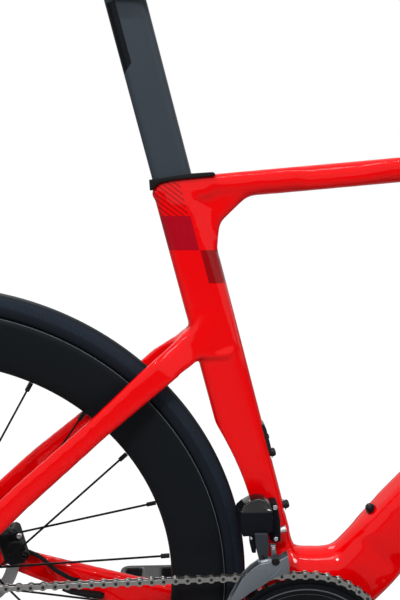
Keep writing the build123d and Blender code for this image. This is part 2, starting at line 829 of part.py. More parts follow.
def rear_derailleur():
    """Hanger knuckle, sloping link body and cage knuckle."""
    inner = -driven_y + chain_half_width + 2.0 + 1.5 + 0.3
    hanger_x, hanger_z = rear_axle_x - 8, axle_z - 30
    low_knuckle = disc(guide_x, -inner - 11, guide_z, 14, 22)
    high_knuckle = disc(hanger_x, -rear_end_y - 7 - 0.3 - 8, hanger_z, 13, 16)
    link = rod((hanger_x, -rear_end_y - 17, hanger_z), (guide_x, -inner - 13, guide_z), 10)
    hanger_room = -rear_end_y - dropout_thickness - 0.3
    body = low_knuckle + high_knuckle + link
    return body - Pos(hanger_x, hanger_room + 50, hanger_z + 35) * Box(200, 100, 100)


def derailleur_hanger():
    """Tab below the right dropout that carries the derailleur."""
    x, z = rear_axle_x, axle_z - dropout_foot - seam
    half_foot = dropout_foot_length / 2
    outline = [(x - half_foot, z), (x - 19, z - 22.8), (x - 8, z - 26.8), (x + 3, z - 22.8), (x + half_foot, z)]
    return slab(outline, -rear_end_y - dropout_thickness, -rear_end_y)


def front_derailleur():
    """Motor body beside the seat tube, with its bracket, arm and link."""
    wall = -seat_tube_width / 2 - seam
    blocks = []
    for height, ahead, near, far, depth, tall, edge in (
            (174, -6, 11.8, 33.8, 38, 44, 6), (152, 13, 0, 10, 10, 46, 1), (169, 7, 6, 15, 24, 12, 1),
            (140, -8, 20, 34, 13, 30, 1)):
        x, z = seat_point(height, ahead)
        block = Pos(x, wall - (near + far) / 2, z) * Rot(0, 90 - seat_angle, 0) * Box(depth, far - near, tall)
        blocks.append(chamfer(block.edges(), edge))
    body = blocks[0] + blocks[1:] - front_derailleur_cage()
    return max(body.solids(), key=lambda solid: solid.volume)


def front_derailleur_cage():
    """Two guide plates astride the chain, following the ring."""
    gap = 2.2
    outline = [(-50, 122), (-19, 130), (-15, 110), (-30, 104), (-48, 92), (-66, 75.6), (-81, 75.7), (-72, 93),
               (-61, 110)]
    y = ring_y + (driven_y - ring_y) * 0.1
    outer = y - chain_half_width - gap
    inner = y + chain_half_width + gap
    cage = slab(outline, outer - 1.2, outer) + slab(outline, inner, inner + 1.2)
    return cage + slab([(-50, 122), (-19, 130), (-19, 127), (-50, 119)], outer, inner)


def chainring(teeth, y, inner_radius):
    gap = first_gap_of(0)
    return sprocket(0, y, 0, teeth, gap, ring_thickness) - disc(0, y, 0, inner_radius, 10)


bolt_circle = 55.0


def outer_chainring():
    """Toothed rim on a broad black web."""
    face = disc(0, ring_y - 1.6, 0, 88, 3.2) - disc(0, ring_y, 0, bolt_circle - 8, 20)
    return chainring(outer_ring_teeth, ring_y, bolt_circle - 8) + face


def inner_chainring():
    return chainring(inner_ring_teeth, ring_y + ring_gap, bolt_circle - 6)


def arm(side):
    """Tapered crank arm, from the spindle to the pedal's eye."""
    y = crank_arm_inner_y + crank_arm_thick / 2
    body = disc(0, y, 0, crank_arm_width / 2 + 3, crank_arm_thick)
    body += disc(crank_length, y, 0, crank_arm_width / 2, crank_arm_thick)
    body += Pos(crank_length / 2, y, 0) * Box(crank_length, crank_arm_thick, crank_arm_width - 4)
    body -= disc(crank_length, y, 0, pedal_axle_radius + axle_fit, 40)
    body -= disc(0, crank_arm_inner_y, 0, spindle_radius + axle_fit, 2 * spindle_seat)
    if side < 0:
        return mirror(body, about=Plane.XZ)
    return Rot(0, 180, 0) * body


def right_crank():
    """Arm, spider and spindle of the drive side."""
    body = arm(-1)
    hub_low, hub_high = -crank_arm_inner_y - 1, ring_y - 3.2
    body += disc(0, (hub_low + hub_high) / 2, 0, 20, hub_high - hub_low)
    for k in range(4):
        end = step(0, 0, 45 + 90 * k, bolt_circle + 1)
        middle = (end[0] / 2, (ring_y - 3.4 + -crank_arm_inner_y) / 2, end[1] / 2)
        leg = Pos(*middle) * Rot(0, -45 - 90 * k, 0) * Box(bolt_circle + 14, 5, 15)
        body += Pos(0, ring_y - 3.3 - 2.5 - middle[1], 0) * leg
    return body - disc(0, -crank_arm_inner_y + 50, 0, spindle_radius + axle_fit, 2 * spindle_seat + 100)


def chainring_bolts():
    """Four sleeves between the two rings, on the bolt circle."""
    length = ring_gap - ring_thickness
    return [disc(x, ring_y + ring_gap / 2, z, 5, length)
            for x, z in (step(0, 0, 45 + 90 * k, bolt_circle) for k in range(4))]


def spindle():
    return disc(0, 0, 0, spindle_radius, 2 * (crank_arm_inner_y + spindle_seat) - 2 * axle_fit)


def pedal(side):
    """Platform pedal body that turns on its axle."""
    middle = crank_arm_inner_y + crank_arm_thick + pedal_gap + pedal_width / 2
    body = Box(pedal_length, pedal_width, pedal_height)
    body = fillet(body.edges().filter_by(Axis.Z), 12)
    for window_x in (-0.28 * pedal_length, 0.28 * pedal_length):
        body -= Pos(window_x, 0, 0) * Box(0.24 * pedal_length, pedal_width - 18, 40)
    body -= disc(0, 0, 0, pedal_axle_radius + axle_fit, pedal_width + 2)
    return Pos(side * crank_length, -side * middle, 0) * body


def pedal_axles():
    length = crank_arm_thick + pedal_gap + pedal_width - 4
    axles = []
    for side in (-1, 1):
        y = -side * (crank_arm_inner_y + length / 2)
        axles.append(disc(side * crank_length, y, 0, pedal_axle_radius, length))
    return axles


# Fork and cockpit

def blade_body(grow=0.0):
    """Left blade of the fork, which kicks out round the disc."""
    rows = []
    for share, y, ahead, depth, width in (
            (0.04, 30, -2, 46, 15), (0.45, 40, 8, 42, 14), (0.78, 54, 30, 34, 12), (1.0, 55.5, 45, 26, 11)):
        x, z = steer_point(-share * axle_below_foot, ahead / 45 * fork_rake)
        rows.append((x, y, z, depth, width))
    return tube(rows, steer_lean, grow)


def fork():
    """Crown below the head tube and two blades that kick out round the disc, to the axle."""
    crown_middle = head_nose - head_tube_depth / 2
    low = steer_point(-crown_gap - crown_height, crown_middle + 4)
    high = steer_point(-crown_gap, crown_middle)
    crown = tube([(low[0], 0, low[1], 44, 78), (high[0], 0, high[1], head_tube_depth, head_tube_width + 2)],
                 steer_lean)
    blade = blade_body() + disc(front_axle_x, front_end_y + 5.5, front_axle_z, 13, 11)
    arch = disc(front_axle_x, 0, front_axle_z, tyre_radius + fork_arch_gap, tyre_width + 14)
    body = crown + blade + mirror(blade, about=Plane.XZ) - arch
    body -= disc(front_axle_x, 0, front_axle_z, 30, front_hub_width)
    return body - disc(front_axle_x, 0, front_axle_z, axle_radius + axle_fit, 200)


def front_axle():
    length = front_hub_width + 22
    return disc(front_axle_x, 0, front_axle_z, axle_radius, length)


def steerer():
    low = steer_point(-crown_gap + 0.1)
    high = steer_point(head_tube_length + spacer_height + stem_height - 3)
    return rod((low[0], 0, low[1]), (high[0], 0, high[1]), steerer_radius)


def headset_spacers():
    low = steer_point(head_tube_length + crown_gap)
    high = steer_point(head_tube_length + spacer_height)
    ring = rod((low[0], 0, low[1]), (high[0], 0, high[1]), spacer_radius)
    return ring - steerer_hole(steerer_radius + axle_fit)


stem_base = head_tube_length + spacer_height + 0.05
stem_middle = stem_base + stem_height / 2
stem_x, stem_z = steer_point(stem_middle)
bar_x, bar_z = step(stem_x, stem_z, steer_lean - 90 + stem_rise, stem_length)


def stem():
    """Block that grips the steerer and reaches forward to the bar."""
    low, high = steer_point(stem_base), steer_point(stem_base + stem_height)
    grip = rod((low[0], 0, low[1]), (high[0], 0, high[1]), spacer_radius)
    middle = ((stem_x + bar_x) / 2, 0, (stem_z + bar_z) / 2)
    reach = Pos(*middle) * Rot(0, -(steer_lean - 90 + stem_rise), 0) * Box(stem_length, stem_width, stem_height - 8)
    reach = fillet(reach.edges().filter_by(Plane.XZ, reverse=True).filter_by(GeomType.LINE), 6)
    body = grip + reach + disc(bar_x, 0, bar_z, 19, stem_width)
    return body - steerer_hole(steerer_radius + axle_fit) - bar_core(0.1)


tape_start = 152.0


def bar_path():
    half = bar_width / 2
    bends = [(bar_x, tape_start + seam, bar_z), (bar_x, half, bar_z), (bar_x + bar_reach, half, bar_z - 6),
             (bar_x + bar_reach - 8, half, bar_z - bar_drop), (bar_x - 30, half, bar_z - bar_drop - 6)]
    return FilletPolyline(*bends, radius=[34, 34, 44])


def bar_core(grow=0.0):
    """Straight middle of the bar that the stem grips."""
    return disc(bar_x, 0, bar_z, bar_radius + 2 + grow, 240)


bar_facets = 12


def swept_bar(radius):
    path = bar_path()
    outline = RegularPolygon(radius / math.cos(math.pi / bar_facets), bar_facets)
    return sweep(Plane(origin=path @ 0, z_dir=path % 0) * outline, path=path)


def handlebar():
    """Middle of the bar as far as the tape, with flattened tops beside the stem."""
    low, high = stem_width / 2 + 3, 130
    profile = Plane(origin=(bar_x, high, bar_z), x_dir=(1, 0, 0), z_dir=(0, -1, 0)) * RectangleRounded(
        bar_top_depth, bar_top_height, 0.45 * bar_top_height)
    top = extrude(profile, amount=high - low)
    return bar_core() + disc(bar_x, 0, bar_z, bar_radius, 2 * tape_start) + both_sides(top)


def bar_tape():
    """Wound tape round both drops, from the tops to the bar's ends."""
    return both_sides(swept_bar(bar_radius + tape_thickness))


hood_edge = 9.0


def hood():
    """Rubber hood over the lever's body, with its raised horn."""
    rows = []
    for ahead, rise, wide, tall in ((34, 8, 34, 30), (66, 14, 33, 40), (96, 20, 31, 42), (122, 36, 27, 40),
                                    (132, 52, 22, 22)):
        plane = Plane(origin=(bar_x + ahead, bar_width / 2, bar_z + rise), x_dir=(0, 1, 0), z_dir=(1, 0, 0.25))
        rows.append(plane * RectangleRounded(wide, tall, hood_edge))
    body = loft(rows, ruled=True) - swept_bar(bar_radius + tape_thickness + 0.15)
    return max(body.solids(), key=lambda solid: solid.volume)


def lever():
    """Brake lever blade that hangs before the drop."""
    half = bar_width / 2
    bends = [(bar_x + 132.5, half, bar_z + 24), (bar_x + 135.5, half, bar_z - 20), (bar_x + 124, half, bar_z - 66),
             (bar_x + 108, half, bar_z - 100)]
    path = FilletPolyline(*bends, radius=40)
    return sweep(Plane(origin=path @ 0, x_dir=(0, 1, 0), z_dir=path % 0) * RectangleRounded(13, 6, 2.5), path=path)


def save(name, pieces):
    """Write one node, moved to the saddle's frame."""
    pieces = pieces if isinstance(pieces, (list, ShapeList)) else [pieces]
    solids = [solid for piece in pieces for solid in piece.solids()]
    moved = [Pos(-saddle_x, 0, -saddle_top_z) * solid for solid in solids]
    os.makedirs("parts", exist_ok=True)
    export_step(Compound(children=moved) if len(moved) > 1 else moved[0], f"parts/{name}.step")


if __name__ == "__main__":
    save("seat_tube", seat_tube())
    save("head_tube", head_tube())
    save("top_tube", top_tube())
    save("down_tube", down_tube())
    save("bottom_bracket_shell", bottom_bracket_shell())
    save("dropouts", [dropout(1), dropout(-1)])
    save("seatstays", both_sides(seatstay()))
    save("chainstays", both_sides(chainstay()))
    save("seatpost", seatpost())
    save("seatpost_clamp_cover", clamp_cover())
    save("saddle_rails", both_sides(saddle_rail()))
    save("saddle_clamp", saddle_clamp())
    save("saddle", saddle())
    save("headset_bearings", headset_bearings())
    save("crank_bearings", crank_bearings())
    save("rear_axle", rear_axle())
    save("bottle_bosses", bottle_bosses())
    save("derailleur_hanger", derailleur_hanger())
    save("rear_derailleur", rear_derailleur())
    save("derailleur_cage", derailleur_cage())
    save("derailleur_pulleys", pulleys())
    save("front_derailleur", front_derailleur())
    save("front_derailleur_cage", front_derailleur_cage())
    save("chain", chain())
    save("rear_caliper", caliper(rear_axle_x, axle_z, rear_rotor_y, rear_rotor_radius, caliper_angle,
                                 chainstay(seam)))
    save("rear_brake_hose", rear_brake_hose())
    save("rear_rim", rim(rear_axle_x, axle_z))
    save("rear_tyre", tyre(rear_axle_x, axle_z))
    save("rear_hub", hub(rear_axle_x, axle_z, rear_hub_width, *rear_flanges, rear_rotor_y))
    save("rear_spokes", spokes(rear_axle_x, axle_z, *rear_flanges))
    save("rear_rotor", rotor(rear_axle_x, axle_z, rear_rotor_y, rear_rotor_radius))
    save("freehub", freehub())
    save("cassette", cassette())
    save("right_crank", right_crank())
    save("left_crank", arm(1))
    save("crank_spindle", spindle())
    save("outer_chainring", outer_chainring())
    save("inner_chainring", inner_chainring())
    save("chainring_bolts", chainring_bolts())
    save("pedal_axles", pedal_axles())
    save("right_pedal", pedal(1))
    save("left_pedal", pedal(-1))
    save("fork", fork())
    save("steerer", steerer())
    save("headset_spacers", headset_spacers())
    save("stem", stem())
    save("handlebar", handlebar())
    save("bar_tape", bar_tape())
    save("brake_hoods", both_sides(hood()))
    save("brake_levers", both_sides(lever()))
    save("front_axle", front_axle())
    save("front_caliper", caliper(front_axle_x, front_axle_z, front_rotor_y, front_rotor_radius,
                                  front_caliper_angle, blade_body(seam)))
    save("front_rim", rim(front_axle_x, front_axle_z))
    save("front_tyre", tyre(front_axle_x, front_axle_z))
    save("front_hub", hub(front_axle_x, front_axle_z, front_hub_width, *front_flanges, front_rotor_y))
    save("front_spokes", spokes(front_axle_x, front_axle_z, *front_flanges))
    save("front_rotor", rotor(front_axle_x, front_axle_z, front_rotor_y, front_rotor_radius))
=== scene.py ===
import bmesh
import bpy
import math
import numpy
from mathutils import Matrix, Vector


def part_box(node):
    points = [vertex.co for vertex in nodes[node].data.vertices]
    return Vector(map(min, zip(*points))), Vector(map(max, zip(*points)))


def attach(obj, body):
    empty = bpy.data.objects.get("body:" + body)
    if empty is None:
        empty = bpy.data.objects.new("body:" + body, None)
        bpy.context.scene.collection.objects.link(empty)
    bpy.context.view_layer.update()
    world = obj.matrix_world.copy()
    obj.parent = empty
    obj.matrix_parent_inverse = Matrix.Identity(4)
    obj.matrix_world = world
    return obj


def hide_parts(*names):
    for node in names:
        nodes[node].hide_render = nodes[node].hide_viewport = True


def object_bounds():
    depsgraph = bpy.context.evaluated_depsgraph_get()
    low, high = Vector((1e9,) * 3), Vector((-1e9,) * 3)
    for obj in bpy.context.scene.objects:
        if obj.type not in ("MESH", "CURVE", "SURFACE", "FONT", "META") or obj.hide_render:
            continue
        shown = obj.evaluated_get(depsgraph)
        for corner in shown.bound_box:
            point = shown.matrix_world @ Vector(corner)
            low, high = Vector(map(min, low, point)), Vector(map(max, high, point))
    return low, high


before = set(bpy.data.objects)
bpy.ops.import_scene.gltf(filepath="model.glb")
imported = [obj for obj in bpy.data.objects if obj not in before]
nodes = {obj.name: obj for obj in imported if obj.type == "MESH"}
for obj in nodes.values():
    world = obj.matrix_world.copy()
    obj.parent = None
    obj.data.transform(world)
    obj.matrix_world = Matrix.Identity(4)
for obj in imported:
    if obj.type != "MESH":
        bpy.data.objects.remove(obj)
solids_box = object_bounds()


# Studio
# The camera stands level with the top tube and looks down a little at the drive side.
# Room and floor show white, but the floor's own paint is grey, so undersides stay darker.
# Small lamps over the camera, ahead and behind and a long strip overhead put thin highlights on the lacquer.

scene = bpy.context.scene
scene.view_settings.view_transform = "Standard"

camera_data = bpy.data.cameras.new("camera")
camera_data.lens = 42
camera_data.sensor_width = 36
camera_data.clip_start = 0.02
camera = bpy.data.objects.new("camera", camera_data)
scene.collection.objects.link(camera)
camera.location = (0.0678, -0.7409, -0.2393)
turn, tilt = math.radians(-1.9), math.radians(9.3)
sight = Vector((-math.sin(turn) * math.cos(tilt), math.cos(turn) * math.cos(tilt), -math.sin(tilt)))
camera.rotation_euler = sight.to_track_quat("-Z", "Y").to_euler()
scene.camera = camera


def lamp(name, place, target, width, length, power):
    """Soft rectangular lamp that faces a target, its length upright or along the bicycle."""
    data = bpy.data.lights.new(name, "AREA")
    data.shape = "RECTANGLE"
    data.size = width
    data.size_y = length
    data.energy = power
    light = bpy.data.objects.new(name, data)
    scene.collection.objects.link(light)
    light.location = place
    light.rotation_euler = (Vector(target) - Vector(place)).to_track_quat("-Z", "Y").to_euler()


lamp("lamp_over_camera", (-0.9, -2.2, 1.5), (0.2, 0, -0.5), 0.4, 0.4, 50)
lamp("lamp_ahead", (2.6, -1.2, 0.9), (0.3, 0, -0.5), 0.4, 0.4, 13)
lamp("lamp_behind", (-0.6, 2.4, 1.6), (0.2, 0, -0.5), 1.2, 1.2, 40)
lamp("lamp_strip", (0.2, -0.9, 1.3), (0.2, 0, -0.4), 2.6, 0.08, 22)

ambient = 0.27
room = bpy.data.worlds.new("room")
scene.world = room
room.use_nodes = True
tree = room.node_tree
seen = tree.nodes.new("ShaderNodeLightPath")
strength = tree.nodes.new("ShaderNodeValue")
strength.outputs[0].default_value = ambient
for ray in ("Is Camera Ray", "Is Glossy Ray", "Is Transmission Ray"):
    larger = tree.nodes.new("ShaderNodeMath")
    larger.operation = "MAXIMUM"
    tree.links.new(strength.outputs[0], larger.inputs[0])
    tree.links.new(seen.outputs[ray], larger.inputs[1])
    strength = larger
tree.nodes["Background"].inputs["Color"].default_value = (1, 1, 1, 1)
tree.links.new(strength.outputs[0], tree.nodes["Background"].inputs["Strength"])

floor_half, floor_gap, floor_glow, glow_share = 30, 0.0005, 1.12, 0.9
bm = bmesh.new()
bmesh.ops.create_grid(bm, x_segments=1, y_segments=1, size=floor_half)
bmesh.ops.translate(bm, verts=bm.verts, vec=(0, 0, solids_box[0][2] - floor_gap))
floor_mesh = bpy.data.meshes.new("floor")
bm.to_mesh(floor_mesh)
bm.free()
floor = bpy.data.objects.new("floor", floor_mesh)
scene.collection.objects.link(floor)
floor_finish = bpy.data.materials.new("floor_paint")
floor_finish.use_nodes = True
tree = floor_finish.node_tree
paint = tree.nodes["Principled BSDF"]
paint.inputs["Base Color"].default_value = (0.42, 0.42, 0.42, 1)
paint.inputs["Roughness"].default_value = 0.9
glow = tree.nodes.new("ShaderNodeEmission")
glow.inputs["Strength"].default_value = floor_glow
seen = tree.nodes.new("ShaderNodeLightPath")
share = tree.nodes.new("ShaderNodeMath")
share.operation = "MULTIPLY"
share.inputs[1].default_value = glow_share
blend = tree.nodes.new("ShaderNodeMixShader")
tree.links.new(seen.outputs["Is Camera Ray"], share.inputs[0])
tree.links.new(share.outputs[0], blend.inputs[0])
tree.links.new(paint.outputs[0], blend.inputs[1])
tree.links.new(glow.outputs[0], blend.inputs[2])
tree.links.new(blend.outputs[0], tree.nodes["Material Output"].inputs["Surface"])
floor_mesh.materials.append(floor_finish)


# Frame
# A bonded carbon shell in one gloss red lacquer, so its tubes run into each other without a seam.
# A hatch, a crimson band and a darker block are sprayed under the clear coat at the seat tube's head.

bracket = Vector((0.205, 0, -0.752))
evenly = {"factor": 0.5, "use_axis_x": True, "use_axis_y": True, "use_axis_z": True}


def spot(x, y, z):
    """Point given in millimetres ahead of, left of and above the bottom bracket."""
    return bracket + Vector((x, y, z)) / 1000


def finish(name, colour, roughness, grain, depth=0.0, spread=0.15, **sockets):
    """Finish whose colour, gloss and relief vary with a noise as fine as its grain, in metres."""
    material = bpy.data.materials.new(name)
    material.use_nodes = True
    tree = material.node_tree
    surface = tree.nodes["Principled BSDF"]
    for socket, value in {"Specular_IOR_Level": 0.07, "Coat_IOR": 1.25, **sockets}.items():
        surface.inputs[socket.replace("_", " ")].default_value = value
    place = tree.nodes.new("ShaderNodeTexCoord")
    noise = tree.nodes.new("ShaderNodeTexNoise")
    noise.name = "grain"
    noise.inputs["Scale"].default_value = 1 / grain
    noise.inputs["Detail"].default_value = 3
    tree.links.new(place.outputs["Object"], noise.inputs["Vector"])
    tint = tree.nodes.new("ShaderNodeMix")
    tint.name = "tint"
    tint.data_type = "RGBA"
    tint.inputs[6].default_value = [c * (1 - spread) for c in colour] + [1]
    tint.inputs[7].default_value = [min(1, c * (1 + spread)) for c in colour] + [1]
    tree.links.new(noise.outputs[0], tint.inputs[0])
    tree.links.new(tint.outputs[2], surface.inputs["Base Color"])
    gloss = tree.nodes.new("ShaderNodeMapRange")
    gloss.inputs["To Min"].default_value = roughness * (1 - spread)
    gloss.inputs["To Max"].default_value = min(1, roughness * (1 + spread))
    tree.links.new(noise.outputs[0], gloss.inputs[0])
    tree.links.new(gloss.outputs[0], surface.inputs["Roughness"])
    if depth:
        relief = tree.nodes.new("ShaderNodeBump")
        relief.name = "relief"
        relief.inputs["Distance"].default_value = depth
        tree.links.new(noise.outputs[0], relief.inputs["Height"])
        tree.links.new(relief.outputs[0], surface.inputs["Normal"])
    return material


def calc(tree, operation, *values):
    """Result of one sum on numbers or other results."""
    node = tree.nodes.new("ShaderNodeMath")
    node.operation = operation
    for socket, value in zip(node.inputs, values):
        if isinstance(value, (int, float)):
            socket.default_value = value
        else:
            tree.links.new(value, socket)
    return node.outputs[0]


def along(tree, start, heading):
    """Distance in metres of a surface point from a start, measured along a heading."""
    place = tree.nodes.new("ShaderNodeTexCoord")
    away = tree.nodes.new("ShaderNodeVectorMath")
    away.operation = "SUBTRACT"
    away.inputs[1].default_value = start
    tree.links.new(place.outputs["Object"], away.inputs[0])
    dot = tree.nodes.new("ShaderNodeVectorMath")
    dot.operation = "DOT_PRODUCT"
    dot.inputs[1].default_value = heading
    tree.links.new(away.outputs[0], dot.inputs[0])
    return dot.outputs["Value"]


def between(tree, value, low, high):
    """1 where a value lies between two limits, and 0 elsewhere."""
    return calc(tree, "MULTIPLY", calc(tree, "GREATER_THAN", value, low), calc(tree, "LESS_THAN", value, high))


def overlay(material, mask, colour):
    """Lays another colour over a finish where a mask is 1."""
    tree = material.node_tree
    target = tree.nodes["Principled BSDF"].inputs["Base Color"]
    below = target.links[0].from_socket
    mix = tree.nodes.new("ShaderNodeMix")
    mix.data_type = "RGBA"
    mix.inputs[7].default_value = [*colour, 1]
    tree.links.new(mask, mix.inputs[0])
    tree.links.new(below, mix.inputs[6])
    tree.links.new(mix.outputs[2], target)


def merged(*names):
    """Mesh under construction of CAD solids whose loose triangles are joined."""
    bm = bmesh.new()
    for name in names:
        bm.from_mesh(nodes[name].data)
    bmesh.ops.remove_doubles(bm, verts=bm.verts, dist=1e-6)
    return bm


def piece(name, bm, body, material, smooth=True):
    """Turns a finished mesh into a piece that rides on a body."""
    mesh = bpy.data.meshes.new(name)
    bm.to_mesh(mesh)
    bm.free()
    mesh.polygons.foreach_set("use_smooth", [smooth] * len(mesh.polygons))
    mesh.materials.append(material)
    made = bpy.data.objects.new(name, mesh)
    scene.collection.objects.link(made)
    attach(made, body)
    return made


def melted(bm, voxel, rounds):
    """Skin of a mesh at a voxel's width, smoothed a number of times."""
    mesh = bpy.data.meshes.new("rough")
    bm.to_mesh(mesh)
    bm.free()
    rough = bpy.data.objects.new("rough", mesh)
    scene.collection.objects.link(rough)
    melt = rough.modifiers.new("melt", "REMESH")
    melt.mode = "VOXEL"
    melt.voxel_size = voxel
    soften = rough.modifiers.new("soften", "SMOOTH")
    soften.iterations = rounds
    bpy.context.view_layer.update()
    skin = bpy.data.meshes.new_from_object(rough.evaluated_get(bpy.context.evaluated_depsgraph_get()))
    out = bmesh.new()
    out.from_mesh(skin)
    bpy.data.objects.remove(rough)
    bpy.data.meshes.remove(mesh)
    bpy.data.meshes.remove(skin)
    return out


def cut_plate(outline, right, left, edge, segments=2):
    """Plate with a side-view outline in millimetres from the bracket, between two distances across."""
    bm = bmesh.new()
    face = bm.faces.new([bm.verts.new(spot(x, left, z)) for x, z in outline])
    grown = bmesh.ops.extrude_face_region(bm, geom=[face])["geom"]
    bmesh.ops.translate(bm, verts=[v for v in grown if isinstance(v, bmesh.types.BMVert)],
                        vec=(0, (right - left) / 1000, 0))
    bmesh.ops.recalc_face_normals(bm, faces=bm.faces)
    if edge:
        bmesh.ops.bevel(bm, geom=list(bm.edges), offset=edge / 1000, offset_type="OFFSET", segments=segments,
                        profile=0.5, affect="EDGES", material=-1)
    return bm


def moulded(name, names, voxel, rounds, body, material, knots=(), fills=()):
    """One skin over CAD solids and fills, softened all over and more round each knot, that stands for them."""
    bm = merged(*names)
    for fill in fills:
        lump = bpy.data.meshes.new("lump")
        fill.to_mesh(lump)
        fill.free()
        bm.from_mesh(lump)
        bpy.data.meshes.remove(lump)
    bm = melted(bm, voxel, rounds)
    core_share = 0.7
    for centre, reach, more in knots:
        close = [v for v in bm.verts if (v.co - centre).length < reach]
        core = [v for v in close if (v.co - centre).length < core_share * reach]
        for k in range(more):
            bmesh.ops.smooth_vert(bm, verts=close if k < more // 3 else core, **evenly)
    made = piece(name, bm, body, material)
    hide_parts(*names)
    return made


red_lacquer = finish("red_lacquer", (0.80, 0.0004, 0.0016), 0.40, 0.0012, 0.000006, 0.06,
                     Coat_Weight=1.0, Coat_Roughness=0.03, Coat_IOR=1.31, Specular_IOR_Level=0.0)
tree = red_lacquer.node_tree
seat_lean, seat_foot = math.radians(104.7), -5
up_tube = (math.cos(seat_lean), 0, math.sin(seat_lean))
over_tube = (math.sin(seat_lean), 0, -math.cos(seat_lean))
block_low, band_low, hatch_low, hatch_high, stripe_pitch = 0.4113, 0.4461, 0.4816, 0.516, 0.0042
ahead = along(tree, spot(seat_foot, 0, 0), over_tube)
height = along(tree, bracket, (0, 0, 1))
slant = along(tree, bracket, (0.60, 0, 0.80))
wave = calc(tree, "SINE", calc(tree, "MULTIPLY", slant, 2 * math.pi / stripe_pitch))
hatch = calc(tree, "MULTIPLY", between(tree, height, hatch_low, hatch_high), calc(tree, "LESS_THAN", ahead, 0.006))
overlay(red_lacquer, calc(tree, "MULTIPLY", hatch, calc(tree, "GREATER_THAN", wave, 0.25)), (0.42, 0.0008, 0.002))
band = calc(tree, "MULTIPLY", between(tree, height, band_low, hatch_low), calc(tree, "LESS_THAN", ahead, 0.008))
overlay(red_lacquer, band, (0.38, 0.0008, 0.010))
block = calc(tree, "MULTIPLY", between(tree, height, block_low, band_low), between(tree, ahead, 0.009, 0.035))
overlay(red_lacquer, block, (0.28, 0.0006, 0.0025))


def on_tube(height, ahead):
    """Distances ahead of and above the bottom bracket, of a place up the seat tube and ahead of its middle."""
    return (seat_foot + height * up_tube[0] + ahead * over_tube[0], height * up_tube[2] + ahead * over_tube[2])


hole_foot, hole_head, hole_reach = 441, 529.7, 20.7
post_hole = cut_plate([on_tube(height, ahead) for height, ahead in (
    (hole_foot, -hole_reach), (hole_head, -hole_reach), (hole_head, hole_reach), (hole_foot, hole_reach))],
    -12.4, 12.4, 0)
collar = cut_plate([(-163, 500), (-161.2, 512), (-151, 518.3), (-138, 520.6), (-96, 524.6), (-92, 512), (-104, 500)],
                   -14.9, 14.9, 3)
ledge_foot, ledge_front = spot(0, 0, 331).z, spot(-80, 0, 0).x
ledge = cut_plate([(-136, 326), (-114, 331), (-82, 333.5), (-74, 343), (-79, 366), (-90, 394), (-116, 384),
                   (-124, 360), (-142, 342)], -19.2, 19.2, 0)
for vert in ledge.verts:
    rise = (vert.co.z - ledge_foot) / 0.060
    vert.co.y *= 1 - 0.25 * min(max(rise, 0), 1)
    if vert.co.x > ledge_front:
        vert.co.y *= 0.78
shell_nodes = ("seat_tube", "head_tube", "top_tube", "down_tube", "bottom_bracket_shell", "seatstays", "chainstays")
# Each knot: its centre, its reach in metres and the rounds of smoothing inside it
shell_knots = [
    (spot(-72, 0, 478), 0.046, 16), (spot(-165, 0, 345), 0.050, 24), (spot(30, 0, 85), 0.085, 40),
    (spot(95, 0, 80), 0.080, 60), (spot(-60, 0, 0), 0.075, 24), (spot(398, 0, 540), 0.065, 20),
    (spot(420, 0, 460), 0.065, 20), (spot(-270, 0, 140), 0.20, 9), (spot(235, 0, 260), 0.20, 9)]
skin = moulded("frame_shell", shell_nodes, 0.0024, 8, "frame", red_lacquer, knots=shell_knots,
               fills=[post_hole, collar, ledge])


def eased(value, start, end):
    """Share from 0 to 1 that a value has passed between two others, with soft ends."""
    share = min(max((value - start) / (end - start), 0), 1)
    return share * share * (3 - 2 * share)


# The down tube is deeper underneath near the bottom bracket, and the bracket's block has round shoulders.
tube_run = Vector((0.6717, 0, 0.7408))
tube_rise = Vector((-0.7408, 0, 0.6717))
belly_depth, shoulder_drop = 0.014, 0.006
for vert in skin.data.vertices:
    place = (vert.co - bracket) * 1000
    run, rise = place.dot(tube_run), place.dot(tube_rise)
    belly = eased(run, 20, 70) * (1 - eased(run, 220, 330)) * min(max((15 - rise) / 28, 0), 1)
    shoulder = eased(place.z, 70, 95) * eased(place.x, -12, 0) * (1 - eased(place.x, 45, 90))
    vert.co -= tube_rise * (belly_depth * belly)
    vert.co.z -= shoulder_drop * shoulder * min(abs(place.y) / 20, 1) ** 2


# Fork
# Carbon fork in the frame's lacquer: crown under the head tube and two blades that kick out to the hub.

moulded("fork_shell", ("fork",), 0.0020, 7, "steering", red_lacquer)


# Seat post
# Aero carbon post in satin slate grey, wedged in the seat tube, with a gloss panel on its rear flank.

slate = finish("slate_satin", (0.036, 0.046, 0.057), 0.42, 0.0009, 0.000012, 0.10, Specular_IOR_Level=0.08)
tree = slate.node_tree
panel_foot, panel_head, panel_front, foot_slope = 0.650, 0.7195, -0.0100, 0.8
back = along(tree, spot(seat_foot, 0, 0), over_tube)
height = along(tree, bracket, up_tube)
panel = calc(tree, "MULTIPLY", between(tree, height, panel_foot, panel_head),
             calc(tree, "LESS_THAN", back, panel_front))
slant = calc(tree, "SUBTRACT", height, calc(tree, "MULTIPLY", back, foot_slope))
panel = calc(tree, "MULTIPLY", panel, calc(tree, "GREATER_THAN", slant, 0.6665))
overlay(slate, panel, (0.003, 0.004, 0.006))


def dress(material, *names):
    """Gives CAD nodes a finish."""
    for name in names:
        for place in nodes[name].material_slots:
            place.material = material


dress(slate, "seatpost")


# Clamp cover
# Moulded rubber cap that closes the frame round the post and hides its wedge screw.

